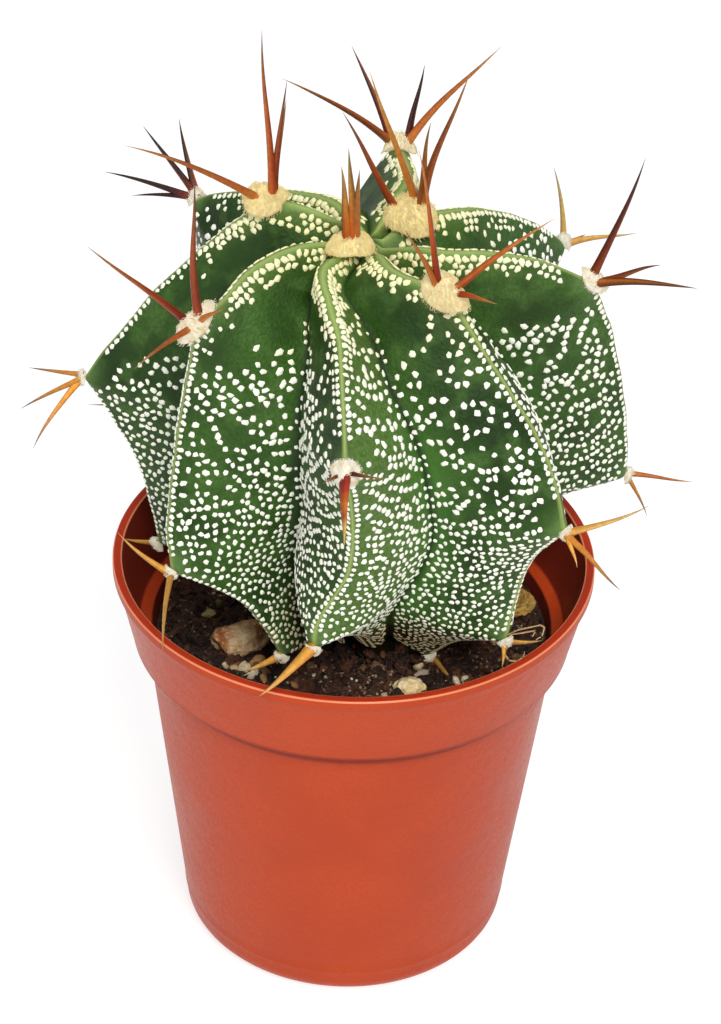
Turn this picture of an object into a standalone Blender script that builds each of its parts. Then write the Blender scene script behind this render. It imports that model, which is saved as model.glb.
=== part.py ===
"""Potted monk's hood cactus (Astrophytum ornatum) in a small plastic nursery pot.

The origin is the middle of the pot's underside, +Z is up and the front of the plant faces -Y. Sizes are
given in millimetres and angles in degrees, and both are converted where a mesh is made.

The plant has eight ribs. Every rib edge follows one meridian, measured by its polar angle from the crown:
0 at the top, 90 at the widest place and 180 at the foot. The areoles follow each other round the plant in
the order of their age, one rib at a time, and each sits a little further down the meridian than the last.
"""
import math
import random

import bmesh
import bpy
from mathutils import Matrix, Vector, noise

MM = 0.001
GAP = 0.3

# Pot, a 65 mm nursery pot
RIM_RADIUS = 32.5
POT_HEIGHT = 59.7
LIP_HEIGHT = 1.4
LIP_OVERHANG = 0.4
LIP_ROUNDING = 0.3
WALL = 0.9
STEP_HEIGHT = 47.9
COLLAR_BOTTOM_RADIUS = 29.9
BODY_TOP_RADIUS = 28.0
BODY_FOOT_RADIUS = 22.6
FOOT_ROUNDING = 2.8
FLOOR = 1.2
FLOOR_DRAFT = 0.1
COLLAR_FOOT_BEVEL = (0.3, 0.4)
POT_SEGMENTS = 40
DRAIN_COUNT = 4
DRAIN_RADIUS = 2.4
DRAIN_RING = 13.5
DRAIN_DRILL_LENGTH = 6.0

# Soil
SOIL_LEVEL = 46.8
SOIL_BUMP = 0.7
SOIL_BUMP_WIDTH = 4.0
SOIL_SEGMENTS = 40
SOIL_RINGS = (23.5, 20.0, 16.5, 13.0, 9.0, 4.5)
PEAT_LUMP = (15.5, -6.0)
PEAT_LUMP_HEIGHT = 0.8
PEAT_LUMP_WIDTH = 3.5

# Stones: the middle, the size, the heading, the seed of the dents, their depth and the colour
STONES = {
    "stone_tan": ((-15.0, -4.6, 48.1), (7.2, 5.4, 4.4), 20.0, 1.0, 0.5, (0.52, 0.33, 0.20)),
    "stone_ochre": ((22.4, 5.6, 48.4), (5.6, 4.8, 4.4), 35.0, 4.0, 0.6, (0.33, 0.22, 0.07)),
    "pebble_pale": ((8.0, -13.2, 47.4), (3.9, 2.8, 2.2), 5.0, 8.0, 0.3, (0.62, 0.55, 0.44)),
}
STONE_CLEARANCE = 0.4

# Stem: the meridian of a rib edge
EDGE_RADIUS = 36.5
WAIST_HEIGHT = 84.9
RISE_ABOVE = 29.0
DROP_BELOW = 36.0
SHOULDER_POWER = 0.8
CROWN_DIP = 3.8
CROWN_DIP_RADIUS = 7.0
LAST_ANGLE = 164.0

# Stem: where it stands, how it leans, and the foot that stands in the soil
STEM_FOOT = (5.1, 0.9, 48.5)
LEAN_LEFT = 4.1
LEAN_FORWARD = 2.3
STUB_TOP_RADIUS = 9.0
STUB_BOTTOM_RADIUS = 8.4
STUB_TOP_HEIGHT = 47.5
STUB_BOTTOM_HEIGHT = 41.0
STUB_HOLE_RISE = 6.0

# Ribs, clockwise from above, starting at the front
RIB_NAMES = ("front", "front_left", "left", "back_left", "back", "back_right", "right", "front_right")
RIB_COUNT = len(RIB_NAMES)
RIB_REACH = (0.96, 0.98, 1.05, 1.02, 0.99, 0.95, 0.95, 0.97)
REACH_RISE = 0.7
REACH_HUB = 76.4
# Turn of each rib edge from its even place round the plant, at the marked polar angles
RIB_SWING_ANGLES = (10.0, 22.0, 34.0, 70.0, 98.0, 117.0, 150.0)
RIB_SWINGS = (
    (34.0, 18.0, 9.0, 5.0, 6.5, 16.0, 12.0),
    (17.0, 16.0, 11.0, 13.0, 10.0, 1.0, -12.0),
    (13.0, 12.0, 10.0, 2.0, 0.0, -1.0, -1.0),
    (11.0, 5.0, 1.0, -2.0, -4.0, -5.0, -6.0),
    (28.0, 16.0, 9.0, 6.0, 4.0, 3.0, 1.0),
    (14.0, 10.0, 6.0, 3.0, -1.0, -3.0, -8.0),
    (33.0, 18.0, 9.5, 2.0, 1.0, -1.0, -24.0),
    (31.0, 13.0, 8.0, 1.0, 3.0, 4.0, 13.0),
)
# The furrow after each rib: its depth, and the turn of those that lean towards a neighbour
FURROW_DEPTHS = (17.0, 17.0, 17.0, 17.0, 17.0, 17.0, 16.0, 12.0)
FURROW_SHIFT_ANGLES = (40.0, 80.0, 110.0, 140.0)
FURROW_SHIFTS = {0: (0.0, 0.0, 4.0, 16.0), 7: (10.0, 4.0, -1.0, 8.0)}
# Section of the furrows and flanks
FURROW_POWER_ABOVE = 0.75
FURROW_POWER_BELOW = 1.3
FURROW_LEVELLING = 12.0
FLANK_BULGE = 1.8
EDGE_HALF_WIDTH = 0.45

# The straight runs between areoles, and the arches under the older ones
CROWN_STRAIGHTNESS = (0.1, 0.1, 0.1, 0.5, 0.1, 0.1, 0.1, 0.1)
EDGE_STRAIGHTNESS = (0.8, 0.8, 0.8, 0.6, 0.6, 0.55, 0.2, 0.8)
ARCH_DEPTH = 2.6
ARCH_DEPTHS = {11: 3.2, 14: 6.2, 19: 1.8}
TAIL_DROPS = (0.0, 0.0, 0.0, 0.0, 0.0, 0.0, 0.0, 1.8)
TAIL_START = 131.0
TAIL_FULL = 156.0
ARCH_START = 90.0
ARCH_FULL = 120.0

# Areoles: the ribs in the order of age, and the steps down the meridian
AGE_ORDER = (0, 5, 2, 7, 4, 1, 6, 3)
AREOLE_AGES = tuple(range(24)) + (27,)
FIRST_ANGLE = -2.1
CROWN_STEP = 8.7
KNEE_AGE = 12.2
SIDE_STEP = 4.0
CROWN_TUFT = (-2.0, -4.6)
CROWN_TUFT_AGE = 0
CROWN_LIFT = 0.7
LOWEST_FACING = 128.0

# Wool cushions, and how much larger the young ones are
CUSHION_HALF_WIDTH = 1.2
CUSHION_HALF_LENGTH = 1.4
CUSHION_HEIGHT = 0.9
CUSHION_YOUNG_GAIN = 0.95
CUSHION_AGEING = 6.0
CUSHION_SIDES = 8
CUSHION_SADDLE = 0.4

# Stem grid and flecks
FLANK_STEPS = (0.0, 0.06, 0.2, 0.35, 0.51, 0.67, 0.84)
ROW_COUNT = 31
FIRST_ROW_ANGLE = 6.0
FLECK_HEIGHT = 0.65
FLECK_SEED = 7
FLECK_MOST = 0.62
FLECK_BARE_ANGLE = 55.0
FLECK_FULL_ANGLE = 105.0

# Spines
SPINE_RADIUS = 0.6
SPINE_SIDES = 4
SPINE_BEND = 0.04
SPINE_SEED = 11
LAST_FULL_AGE = 15
FULL_BUNDLE_COUNT = 4
FULL_BUNDLE_LENGTH = 14.0
FULL_BUNDLE_LEAN = 40.0
LOW_BUNDLE_COUNT = 2
LOW_BUNDLE_LENGTH = 5.0
LOW_BUNDLE_LEAN = 62.0
BUNDLE_FAN = 60.0


def mix(start, end, part):
    """Value or vector between two others."""
    return start + (end - start) * part


def ease(part):
    """Smooth step from 0 to 1."""
    part = min(max(part, 0.0), 1.0)
    return part * part * (3.0 - 2.0 * part)


def areole_angle(age):
    """Polar angle of an areole on the meridian."""
    return FIRST_ANGLE + CROWN_STEP * min(age, KNEE_AGE) + SIDE_STEP * max(age - KNEE_AGE, 0.0)


def areole_rib(age):
    """Index of the rib that an areole sits on."""
    return AGE_ORDER[age % RIB_COUNT]


def smooth_edge(reach, angle):
    """Radius and height of a rib edge before its areoles shape it, as a 2-D vector."""
    turn = math.radians(angle)
    above = angle < 90.0
    power = SHOULDER_POWER if above else 1.0
    radius = EDGE_RADIUS * math.sin(turn) ** power
    rise = RISE_ABOVE * math.cos(turn) ** power if above else DROP_BELOW * math.cos(turn)
    dip = CROWN_DIP * math.exp(-((radius / CROWN_DIP_RADIUS) ** 2))
    height = WAIST_HEIGHT + rise - dip
    return Vector((radius * reach, mix(REACH_HUB, height, 1.0 + REACH_RISE * (reach - 1.0))))


def edge_knots(rib):
    """Ages and polar angles that a rib edge runs between: the crown, its areoles and the foot."""
    own = [age for age in AREOLE_AGES if areole_rib(age) == rib and age != CROWN_TUFT_AGE]
    return [(None, 0.0)] + [(age, areole_angle(age)) for age in own] + [(None, LAST_ANGLE)]


def edge_profile(rib, angle):
    """Radius and height of a rib edge: nearly straight from areole to areole, arched under the old ones."""
    reach = RIB_REACH[rib]
    point = smooth_edge(reach, angle)
    knots = edge_knots(rib)
    for (age, start), (_, end) in zip(knots, knots[1:]):
        if start <= angle <= end:
            part = (angle - start) / (end - start)
            chord = mix(smooth_edge(reach, start), smooth_edge(reach, end), part)
            straightness = (CROWN_STRAIGHTNESS if start == 0.0 else EDGE_STRAIGHTNESS)[rib]
            arched = ease((end - ARCH_START) / (ARCH_FULL - ARCH_START))
            arch = ARCH_DEPTHS.get(age, ARCH_DEPTH) * arched * math.sin(math.pi * part)
            turn = math.radians(angle)
            inward = Vector((-math.sin(turn), -math.cos(turn)))
            drop = TAIL_DROPS[rib] * ease((angle - TAIL_START) / (TAIL_FULL - TAIL_START))
            return mix(point, chord, straightness) + inward * arch - Vector((0.0, drop))
    return point


def furrow_profile(gap, angle):
    """Radius and height of the bottom of the furrow between a rib and the next one clockwise."""
    reach = (RIB_REACH[gap] + RIB_REACH[(gap + 1) % RIB_COUNT]) / 2.0
    turn = math.radians(angle)
    power = FURROW_POWER_ABOVE if angle < 90.0 else FURROW_POWER_BELOW
    depth = FURROW_DEPTHS[gap] * math.sin(turn) ** power
    slope = math.radians(angle + FURROW_LEVELLING * math.sin(2.0 * turn))
    return smooth_edge(reach, angle) - Vector((math.sin(slope), math.cos(slope))) * depth


def along_marks(marks, values, angle):
    """Value at a polar angle, on a smooth curve through the values at the marked angles."""
    angle = min(max(angle, marks[0]), marks[-1])
    last = len(marks) - 1
    slopes = [0.0]
    for k in range(1, last):
        slopes.append((values[k + 1] - values[k - 1]) / (marks[k + 1] - marks[k - 1]))
    slopes.append(0.0)
    k = max(i for i in range(last) if marks[i] <= angle)
    width = marks[k + 1] - marks[k]
    part = (angle - marks[k]) / width
    level = mix(values[k], values[k + 1], ease(part))
    leaving = slopes[k] * part * (1.0 - part) ** 2
    arriving = slopes[k + 1] * part * part * (part - 1.0)
    return level + (leaving + arriving) * width


def rib_swing(rib, angle):
    """How far a rib edge is turned from its even place round the plant."""
    return along_marks(RIB_SWING_ANGLES, RIB_SWINGS[rib], angle)


def furrow_turn(gap, angle):
    """Where the furrow between a rib and the next one clockwise lies round the plant."""
    swing = (rib_swing(gap, angle) + rib_swing((gap + 1) % RIB_COUNT, angle)) / 2.0
    shift = 0.0
    if gap in FURROW_SHIFTS:
        shift = along_marks(FURROW_SHIFT_ANGLES, FURROW_SHIFTS[gap], angle)
    return 360.0 / RIB_COUNT * (gap + 0.5) + swing + shift


def outward(turn):
    """Horizontal unit vector at an angle clockwise from the front, seen from above."""
    turn = math.radians(turn)
    return Vector((-math.sin(turn), -math.cos(turn), 0.0))


def clockwise(turn):
    """Horizontal unit vector along the growing turn."""
    turn = math.radians(turn)
    return Vector((-math.cos(turn), math.sin(turn), 0.0))


def place_on_stem(profile, turn):
    """Point of the stem in its own frame, whose origin is the stem's foot."""
    return outward(turn) * profile[0] + Vector((0.0, 0.0, profile[1] - STEM_FOOT[2]))


def edge_point(rib, angle):
    """Point on a rib edge in the stem's frame."""
    turn = 360.0 / RIB_COUNT * rib + rib_swing(rib, angle)
    return place_on_stem(edge_profile(rib, angle), turn)


def flank_point(rib, side, step, edge_angle, furrow_angle):
    """Point on a flank: step 0 is the rib edge and step 1 the furrow on that side (+1 is clockwise)."""
    gap = rib if side == 1 else (rib - 1) % RIB_COUNT
    edge_turn = 360.0 / RIB_COUNT * rib + rib_swing(rib, edge_angle)
    bottom_turn = furrow_turn(gap, furrow_angle) - (360.0 if gap > rib else 0.0)
    edge = place_on_stem(edge_profile(rib, edge_angle), edge_turn)
    furrow = place_on_stem(furrow_profile(gap, furrow_angle), bottom_turn)
    point = mix(edge, furrow, step)
    if step > 0.0:
        point += clockwise(edge_turn) * side * EDGE_HALF_WIDTH * (1.0 - step)
    bulge = FLANK_BULGE * math.sin(math.pi * step) * math.sin(math.radians(furrow_angle))
    return point + outward(mix(edge_turn, bottom_turn, step)) * bulge


def row_angles():
    """Polar angles of the rows of the stem's grid."""
    span = LAST_ANGLE - FIRST_ROW_ANGLE
    return [FIRST_ROW_ANGLE + span * row / (ROW_COUNT - 1) for row in range(ROW_COUNT)]


def snapped_angle(rib, angle):
    """The same angle, or that of an areole nearer than half a row, so that the edge's corner is met."""
    half_row = (LAST_ANGLE - FIRST_ROW_ANGLE) / (ROW_COUNT - 1) / 2.0
    for _, knot in edge_knots(rib)[1:-1]:
        if abs(knot - angle) < half_row and angle < LAST_ANGLE:
            return knot
    return angle


def stem_row(angle):
    """One closed row of stem points, clockwise from the front rib's edge."""
    row = []
    for rib in range(RIB_COUNT):
        following = (rib + 1) % RIB_COUNT
        here = snapped_angle(rib, angle)
        there = snapped_angle(following, angle)
        row += [flank_point(rib, 1, step, here, angle) for step in FLANK_STEPS]
        row.append(flank_point(rib, 1, 1.0, here, angle))
        row += [flank_point(following, -1, step, there, angle) for step in reversed(FLANK_STEPS[1:])]
    return row


def new_object(name, mesh_or_bmesh, material, smooth_angle=40.0):
    """Link a new object that holds the mesh, with its material and shading."""
    mesh = mesh_or_bmesh
    if isinstance(mesh_or_bmesh, bmesh.types.BMesh):
        mesh = bpy.data.meshes.new(name)
        bmesh.ops.recalc_face_normals(mesh_or_bmesh, faces=mesh_or_bmesh.faces)
        mesh_or_bmesh.to_mesh(mesh)
        mesh_or_bmesh.free()
    if material is not None:
        mesh.materials.clear()
        mesh.materials.append(material)
    mesh.shade_smooth()
    mesh.set_sharp_from_angle(angle=math.radians(smooth_angle))
    item = bpy.data.objects.new(name, mesh)
    bpy.context.scene.collection.objects.link(item)
    return item


def principled(name, colour, roughness, metallic=0.0):
    """Plain Principled material."""
    material = bpy.data.materials.new(name)
    material.use_nodes = True
    shader = material.node_tree.nodes["Principled BSDF"]
    shader.inputs["Base Color"].default_value = (*colour, 1.0)
    shader.inputs["Roughness"].default_value = roughness
    shader.inputs["Metallic"].default_value = metallic
    material.diffuse_color = (*colour, 1.0)
    return material


def lathe(profile, segments):
    """Spin a profile of (radius, height) points, given in millimetres, into a closed bmesh."""
    mesh = bmesh.new()
    points = [mesh.verts.new((radius * MM, 0.0, height * MM)) for radius, height in profile]
    edges = [mesh.edges.new(pair) for pair in zip(points, points[1:])]
    bmesh.ops.spin(mesh, geom=points + edges, cent=(0.0, 0.0, 0.0), axis=(0.0, 0.0, 1.0),
                   angle=math.tau, steps=segments, use_duplicate=False)
    bmesh.ops.remove_doubles(mesh, verts=mesh.verts, dist=1e-6)
    return mesh


def rounded_corner(centre, radius, start, end, steps):
    """Points of an arc in the (radius, height) plane, from one angle to another."""
    angles = [math.radians(mix(start, end, i / steps)) for i in range(steps + 1)]
    return [(centre[0] + radius * math.cos(a), centre[1] + radius * math.sin(a)) for a in angles]


def body_radius(height):
    """Outside radius of the pot's tapered body."""
    part = (height - FOOT_ROUNDING) / (STEP_HEIGHT - FOOT_ROUNDING)
    return mix(BODY_FOOT_RADIUS, BODY_TOP_RADIUS, part)


def pot_profile():
    """The pot's section: up the outside from the middle of the underside, then down the inside."""
    foot = rounded_corner((BODY_FOOT_RADIUS - FOOT_ROUNDING, FOOT_ROUNDING), FOOT_ROUNDING, -90.0, 0.0, 4)
    under_lip = POT_HEIGHT - LIP_HEIGHT
    collar_top = RIM_RADIUS - LIP_OVERHANG
    ledge = STEP_HEIGHT + WALL
    lip_centre = POT_HEIGHT - LIP_ROUNDING
    outside = [(0.0, 0.0)] + foot + [
        (BODY_TOP_RADIUS, STEP_HEIGHT),
        (COLLAR_BOTTOM_RADIUS - COLLAR_FOOT_BEVEL[0], STEP_HEIGHT),
        (COLLAR_BOTTOM_RADIUS, STEP_HEIGHT + COLLAR_FOOT_BEVEL[1]),
        (collar_top, under_lip),
    ]
    lip = rounded_corner((RIM_RADIUS - LIP_ROUNDING, lip_centre), LIP_ROUNDING, 0.0, 90.0, 2)
    lip = [(RIM_RADIUS, under_lip)] + lip + [(collar_top - WALL, POT_HEIGHT)]
    inside = [
        (collar_top - WALL - LIP_ROUNDING, POT_HEIGHT - LIP_ROUNDING),
        (COLLAR_BOTTOM_RADIUS - WALL, ledge),
        (body_radius(ledge) - WALL, ledge),
        (body_radius(FOOT_ROUNDING) - WALL - FLOOR_DRAFT, FOOT_ROUNDING),
        (BODY_FOOT_RADIUS - FOOT_ROUNDING, FLOOR),
        (0.0, FLOOR),
    ]
    return outside + lip + inside


def build_pot():
    """The moulded pot, with its drainage holes cut through the floor."""
    plastic = principled("pot_plastic", (0.55, 0.085, 0.035), 0.42)
    pot = new_object("pot", lathe(pot_profile(), POT_SEGMENTS), plastic, 30.0)
    for index in range(DRAIN_COUNT):
        turn = math.tau * (index + 0.5) / DRAIN_COUNT
        middle = Vector((math.cos(turn), math.sin(turn), 0.0)) * DRAIN_RING * MM
        drill = bmesh.new()
        bmesh.ops.create_cone(drill, cap_ends=True, segments=12, radius1=DRAIN_RADIUS * MM,
                              radius2=DRAIN_RADIUS * MM, depth=DRAIN_DRILL_LENGTH * MM)
        bmesh.ops.translate(drill, vec=middle, verts=drill.verts)
        cut_from(pot, as_helper("drain_drill_%d" % index, drill))
    return pot


def as_helper(name, mesh):
    """A cutter: kept out of the finished model."""
    item = new_object(name, mesh, None)
    item.hide_render = True
    item.display_type = "WIRE"
    return item


def cut_from(item, cutter):
    """Cut one object out of another with an exact Boolean that stays live."""
    cut = item.modifiers.new("cut_" + cutter.name, "BOOLEAN")
    cut.operation = "DIFFERENCE"
    cut.solver = "EXACT"
    cut.object = cutter


def soil_height(x, y):
    """Height of the soil's bumpy top."""
    wave = noise.noise(Vector((x, y, 3.0)) / SOIL_BUMP_WIDTH)
    lump = math.exp(-((x - PEAT_LUMP[0]) ** 2 + (y - PEAT_LUMP[1]) ** 2) / PEAT_LUMP_WIDTH ** 2)
    return SOIL_LEVEL + SOIL_BUMP * wave + PEAT_LUMP_HEIGHT * lump


def build_soil():
    """The soil that fills the pot, up to a bumpy top."""
    clear = WALL + GAP
    wall_top = body_radius(SOIL_LEVEL) - clear
    profile = [
        (0.0, FLOOR + GAP),
        (BODY_FOOT_RADIUS - FOOT_ROUNDING - GAP, FLOOR + GAP),
        (body_radius(FOOT_ROUNDING) - clear - FLOOR_DRAFT, FOOT_ROUNDING + GAP),
        (wall_top, SOIL_LEVEL),
    ]
    profile += [(radius, SOIL_LEVEL) for radius in SOIL_RINGS] + [(0.0, SOIL_LEVEL)]
    mesh = lathe(profile, SOIL_SEGMENTS)
    for vert in mesh.verts:
        x, y = vert.co.x / MM, vert.co.y / MM
        if vert.co.z > (SOIL_LEVEL - 1.0) * MM and math.hypot(x, y) < wall_top - 1.0:
            vert.co.z = soil_height(x, y) * MM
    peat = principled("peat", (0.028, 0.017, 0.012), 0.95)
    return new_object("soil", mesh, peat, 25.0)


def stem_matrix():
    """The stem's place on the soil and its lean."""
    lean = Vector((-math.tan(math.radians(LEAN_LEFT)), -math.tan(math.radians(LEAN_FORWARD)), 1.0))
    tilt = Vector((0.0, 0.0, 1.0)).rotation_difference(lean.normalized())
    return Matrix.Translation(Vector(STEM_FOOT) * MM) @ tilt.to_matrix().to_4x4()


def stub_rings(extra=0.0):
    """Radius and height of the stem's buried foot, in the stem's frame, grown by a clearance."""
    return [
        (STUB_TOP_RADIUS + extra, STUB_TOP_HEIGHT - STEM_FOOT[2]),
        (STUB_BOTTOM_RADIUS + extra, STUB_BOTTOM_HEIGHT - STEM_FOOT[2] - extra),
    ]


def fleck_share(angle, step):
    """Share of the skin that carries wool flecks: little near the crown, most of it low down."""
    low = ease((angle - FLECK_BARE_ANGLE) / (FLECK_FULL_ANGLE - FLECK_BARE_ANGLE))
    near_edge = 0.5 if 0.05 < step < 0.3 else 0.0
    return max(FLECK_MOST * low, near_edge * ease((angle - 20.0) / 40.0))


def build_stem():
    """The ribbed body: one closed grid from the crown to the buried foot, with raised flecks."""
    angles = row_angles()
    rows = [stem_row(angle) for angle in angles]
    count = len(rows[0])
    for radius, height in stub_rings():
        ring = []
        for column in range(count):
            across = rows[ROW_COUNT - 1][column].copy()
            across.z = 0.0
            ring.append(across.normalized() * radius + Vector((0.0, 0.0, height)))
        rows.append(ring)
    mesh = bmesh.new()
    verts = [[mesh.verts.new(point * MM) for point in row] for row in rows]
    crown = mesh.verts.new(place_on_stem(smooth_edge(1.0, 0.0), 0.0) * MM)
    chance = random.Random(FLECK_SEED)
    steps = list(FLANK_STEPS) + [1.0] + list(reversed(FLANK_STEPS[1:]))
    flecked = []
    for column in range(count):
        beside = (column + 1) % count
        mesh.faces.new((crown, verts[0][column], verts[0][beside]))
        step = (steps[column % len(steps)] + steps[beside % len(steps)]) / 2.0
        for row in range(len(rows) - 1):
            face = mesh.faces.new((verts[row][column], verts[row + 1][column],
                                   verts[row + 1][beside], verts[row][beside]))
            on_flank = row < ROW_COUNT - 2 and 0.05 < step < 0.9
            if on_flank and chance.random() < fleck_share(angles[row], step):
                flecked.append(face)
    mesh.faces.new(verts[-1])
    bmesh.ops.recalc_face_normals(mesh, faces=mesh.faces)
    bmesh.ops.poke(mesh, faces=flecked, offset=FLECK_HEIGHT * MM)
    skin = principled("cactus_skin", (0.055, 0.16, 0.05), 0.5)
    stem = new_object("cactus_stem", mesh, skin, 25.0)
    stem.matrix_world = stem_matrix()
    return stem


def areole_frame(age):
    """Where an areole sits in the stem's frame: X to its right, Y to the crown, Z straight out."""
    rib = areole_rib(age)
    lift = GAP + CROWN_LIFT * math.exp(-age)
    if age == CROWN_TUFT_AGE:
        rise = smooth_edge(1.0, FIRST_ROW_ANGLE / 2.0)[1] - STEM_FOOT[2] + lift
        return Matrix.Translation(Vector((*CROWN_TUFT, rise)) * MM)
    angle = areole_angle(age)
    origin = edge_point(rib, angle)
    turn = 360.0 / RIB_COUNT * rib + rib_swing(rib, angle)
    right = -clockwise(turn)
    reach = RIB_REACH[rib]
    facing = min(angle, LOWEST_FACING)
    slope = smooth_edge(reach, facing - 2.0) - smooth_edge(reach, facing + 2.0)
    to_crown = (outward(turn) * slope[0] + Vector((0.0, 0.0, slope[1]))).normalized()
    out = right.cross(to_crown).normalized()
    turned = Matrix((right, to_crown, out)).transposed().to_4x4()
    return Matrix.Translation((origin + out * lift) * MM) @ turned


def cushion_mesh(age):
    """The wool cushion of an areole, in its own frame: a low dome with a saddle underneath."""
    gain = 1.0 + CUSHION_YOUNG_GAIN * math.exp(-age / CUSHION_AGEING)
    half_width = CUSHION_HALF_WIDTH * gain
    half_length = CUSHION_HALF_LENGTH * gain
    height = CUSHION_HEIGHT * gain
    mesh = bmesh.new()
    bottom = mesh.verts.new((0.0, 0.0, 0.0))
    top = mesh.verts.new((0.0, 0.0, height * MM))
    rings = []
    for spread, rise in ((1.0, 0.0), (1.02, 0.45), (0.62, 0.88)):
        ring = []
        for i in range(CUSHION_SIDES):
            turn = math.tau * i / CUSHION_SIDES
            x = math.cos(turn) * half_width * spread
            y = math.sin(turn) * half_length * spread
            z = height * rise - CUSHION_SADDLE * abs(math.cos(turn)) * (1.0 - rise)
            ring.append(mesh.verts.new((x * MM, y * MM, z * MM)))
        rings.append(ring)
    for i in range(CUSHION_SIDES):
        j = (i + 1) % CUSHION_SIDES
        mesh.faces.new((bottom, rings[0][j], rings[0][i]))
        mesh.faces.new((rings[0][i], rings[0][j], rings[1][j], rings[1][i]))
        mesh.faces.new((rings[1][i], rings[1][j], rings[2][j], rings[2][i]))
        mesh.faces.new((rings[2][i], rings[2][j], top))
    return mesh, height


def spine_mesh(turn, lean, length, start_height):
    """One spine in the areole's frame: a slim four-sided taper with a slight bend."""
    turn = math.radians(turn)
    lean = math.radians(lean)
    sideways = Vector((math.sin(turn), math.cos(turn), 0.0))
    along = sideways * math.sin(lean) + Vector((0.0, 0.0, math.cos(lean)))
    start = Vector((0.0, 0.0, start_height))
    tip = start + along * length
    middle = mix(start, tip, 0.5) + Vector((0.0, 0.0, SPINE_BEND * length))
    radius = SPINE_RADIUS * min(1.0, 0.55 + length / 25.0)
    first = along.orthogonal().normalized()
    second = along.cross(first)
    mesh = bmesh.new()
    rings = []
    for centre, size in ((start, radius), (middle, radius * 0.62)):
        ring = []
        for i in range(SPINE_SIDES):
            around = math.tau * i / SPINE_SIDES
            offset = first * math.cos(around) + second * math.sin(around)
            ring.append(mesh.verts.new((centre + offset * size) * MM))
        rings.append(ring)
    point = mesh.verts.new(tip * MM)
    mesh.faces.new(rings[0])
    for i in range(SPINE_SIDES):
        j = (i + 1) % SPINE_SIDES
        mesh.faces.new((rings[0][i], rings[0][j], rings[1][j], rings[1][i]))
        mesh.faces.new((rings[1][i], rings[1][j], point))
    return mesh


# The bundles that show, by areole age. Each spine is (turn, lean, length): turn 0 points at the crown and
# grows clockwise as seen from outside, and lean is the angle from straight out.
SPINES = {
    0: ((-90, 4, 11.0), (90, 1, 13.5), (90, 8, 10.5)),
    1: ((60, 9, 17.5), (165, 10, 21.5), (-160, 32, 14.0), (-154, 39, 23.0)),
    2: ((136, 51, 22.5), (10, 8, 24.0), (-12, 19, 14.0), (4, 18, 17.5)),
    3: ((-22, 20, 20.5), (-48, 36, 10.5), (131, 36, 19.0), (165, 66, 8.5)),
    4: ((55, 64, 19.0), (73, 29, 14.0), (-94, 16, 10.5), (-86, 45, 18.5)),
    5: ((-127, 9, 19.0), (7, 38, 21.0), (155, 60, 11.5), (50, 76, 6.0)),
    6: ((4, 26, 18.5), (-137, 25, 9.5), (-129, 40, 15.5)),
    7: ((-30, 2, 11.5), (-60, 27, 10.5), (129, 37, 12.5), (134, 52, 8.5)),
    8: ((-104, 42, 3.5), (87, 59, 6.0), (172, 39, 11.0)),
    9: ((78, 52, 13.0), (-143, 30, 10.5), (-138, 20, 3.0)),
    10: ((-38, 9, 6.5), (143, 31, 8.5), (144, 60, 11.0)),
    11: ((30, 46, 12.5), (-114, 11, 11.0), (-112, 36, 5.0)),
    13: ((-20, 76, 9.5), (112, 46, 11.0)),
    14: ((37, 11, 8.5), (-157, 50, 6.0)),
    16: ((-58, 34, 9.5),),
    18: ((-52, 42, 5.5),),
    19: ((-110, 45, 3.0), (60, 68, 4.5)),
    21: ((-64, 47, 5.0),),
    27: ((63, 20, 4.5),),
}


def hidden_bundle(age):
    """A bundle of spines that follows the common pattern, for an areole on the far side or low down."""
    chance = random.Random(SPINE_SEED + age)
    low = age > LAST_FULL_AGE
    count = LOW_BUNDLE_COUNT if low else FULL_BUNDLE_COUNT
    length = LOW_BUNDLE_LENGTH if low else FULL_BUNDLE_LENGTH
    lean = LOW_BUNDLE_LEAN if low else FULL_BUNDLE_LEAN
    bundle = []
    for i in range(count):
        turn = mix(-BUNDLE_FAN, BUNDLE_FAN, i / (count - 1)) + chance.uniform(-12.0, 12.0)
        bundle.append((turn, lean + chance.uniform(-8.0, 8.0), length * chance.uniform(0.75, 1.1)))
    return bundle


def fuse(item, mates):
    """Join the mates to the item in one exact union, and drop them."""
    group = bpy.data.collections.new(item.name + "_spines")
    bpy.context.scene.collection.children.link(group)
    for mate in mates:
        group.objects.link(mate)
        bpy.context.scene.collection.objects.unlink(mate)
    union = item.modifiers.new("union", "BOOLEAN")
    union.operation = "UNION"
    union.solver = "EXACT"
    union.operand_type = "COLLECTION"
    union.collection = group
    view = bpy.context.evaluated_depsgraph_get()
    joined = bpy.data.meshes.new_from_object(item.evaluated_get(view))
    item.modifiers.remove(union)
    item.data = joined
    for mate in mates:
        bpy.data.objects.remove(mate)
    bpy.data.collections.remove(group)


def build_areole(age, stem, wool):
    """A wool cushion with its spines, seated on the rib edge."""
    name = "areole_%s_%d" % (RIB_NAMES[areole_rib(age)], age // RIB_COUNT + 1)
    mesh, height = cushion_mesh(age)
    cushion = new_object(name, mesh, wool, 50.0)
    bundle = SPINES.get(age) or hidden_bundle(age)
    spines = []
    for number, (turn, lean, length) in enumerate(bundle):
        spine = spine_mesh(turn, lean, length, height * 0.45)
        spines.append(new_object("%s_spine_%d" % (name, number), spine, wool))
    fuse(cushion, spines)
    cushion.parent = stem
    cushion.matrix_parent_inverse = Matrix.Identity(4)
    cushion.matrix_local = areole_frame(age)
    return cushion


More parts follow.
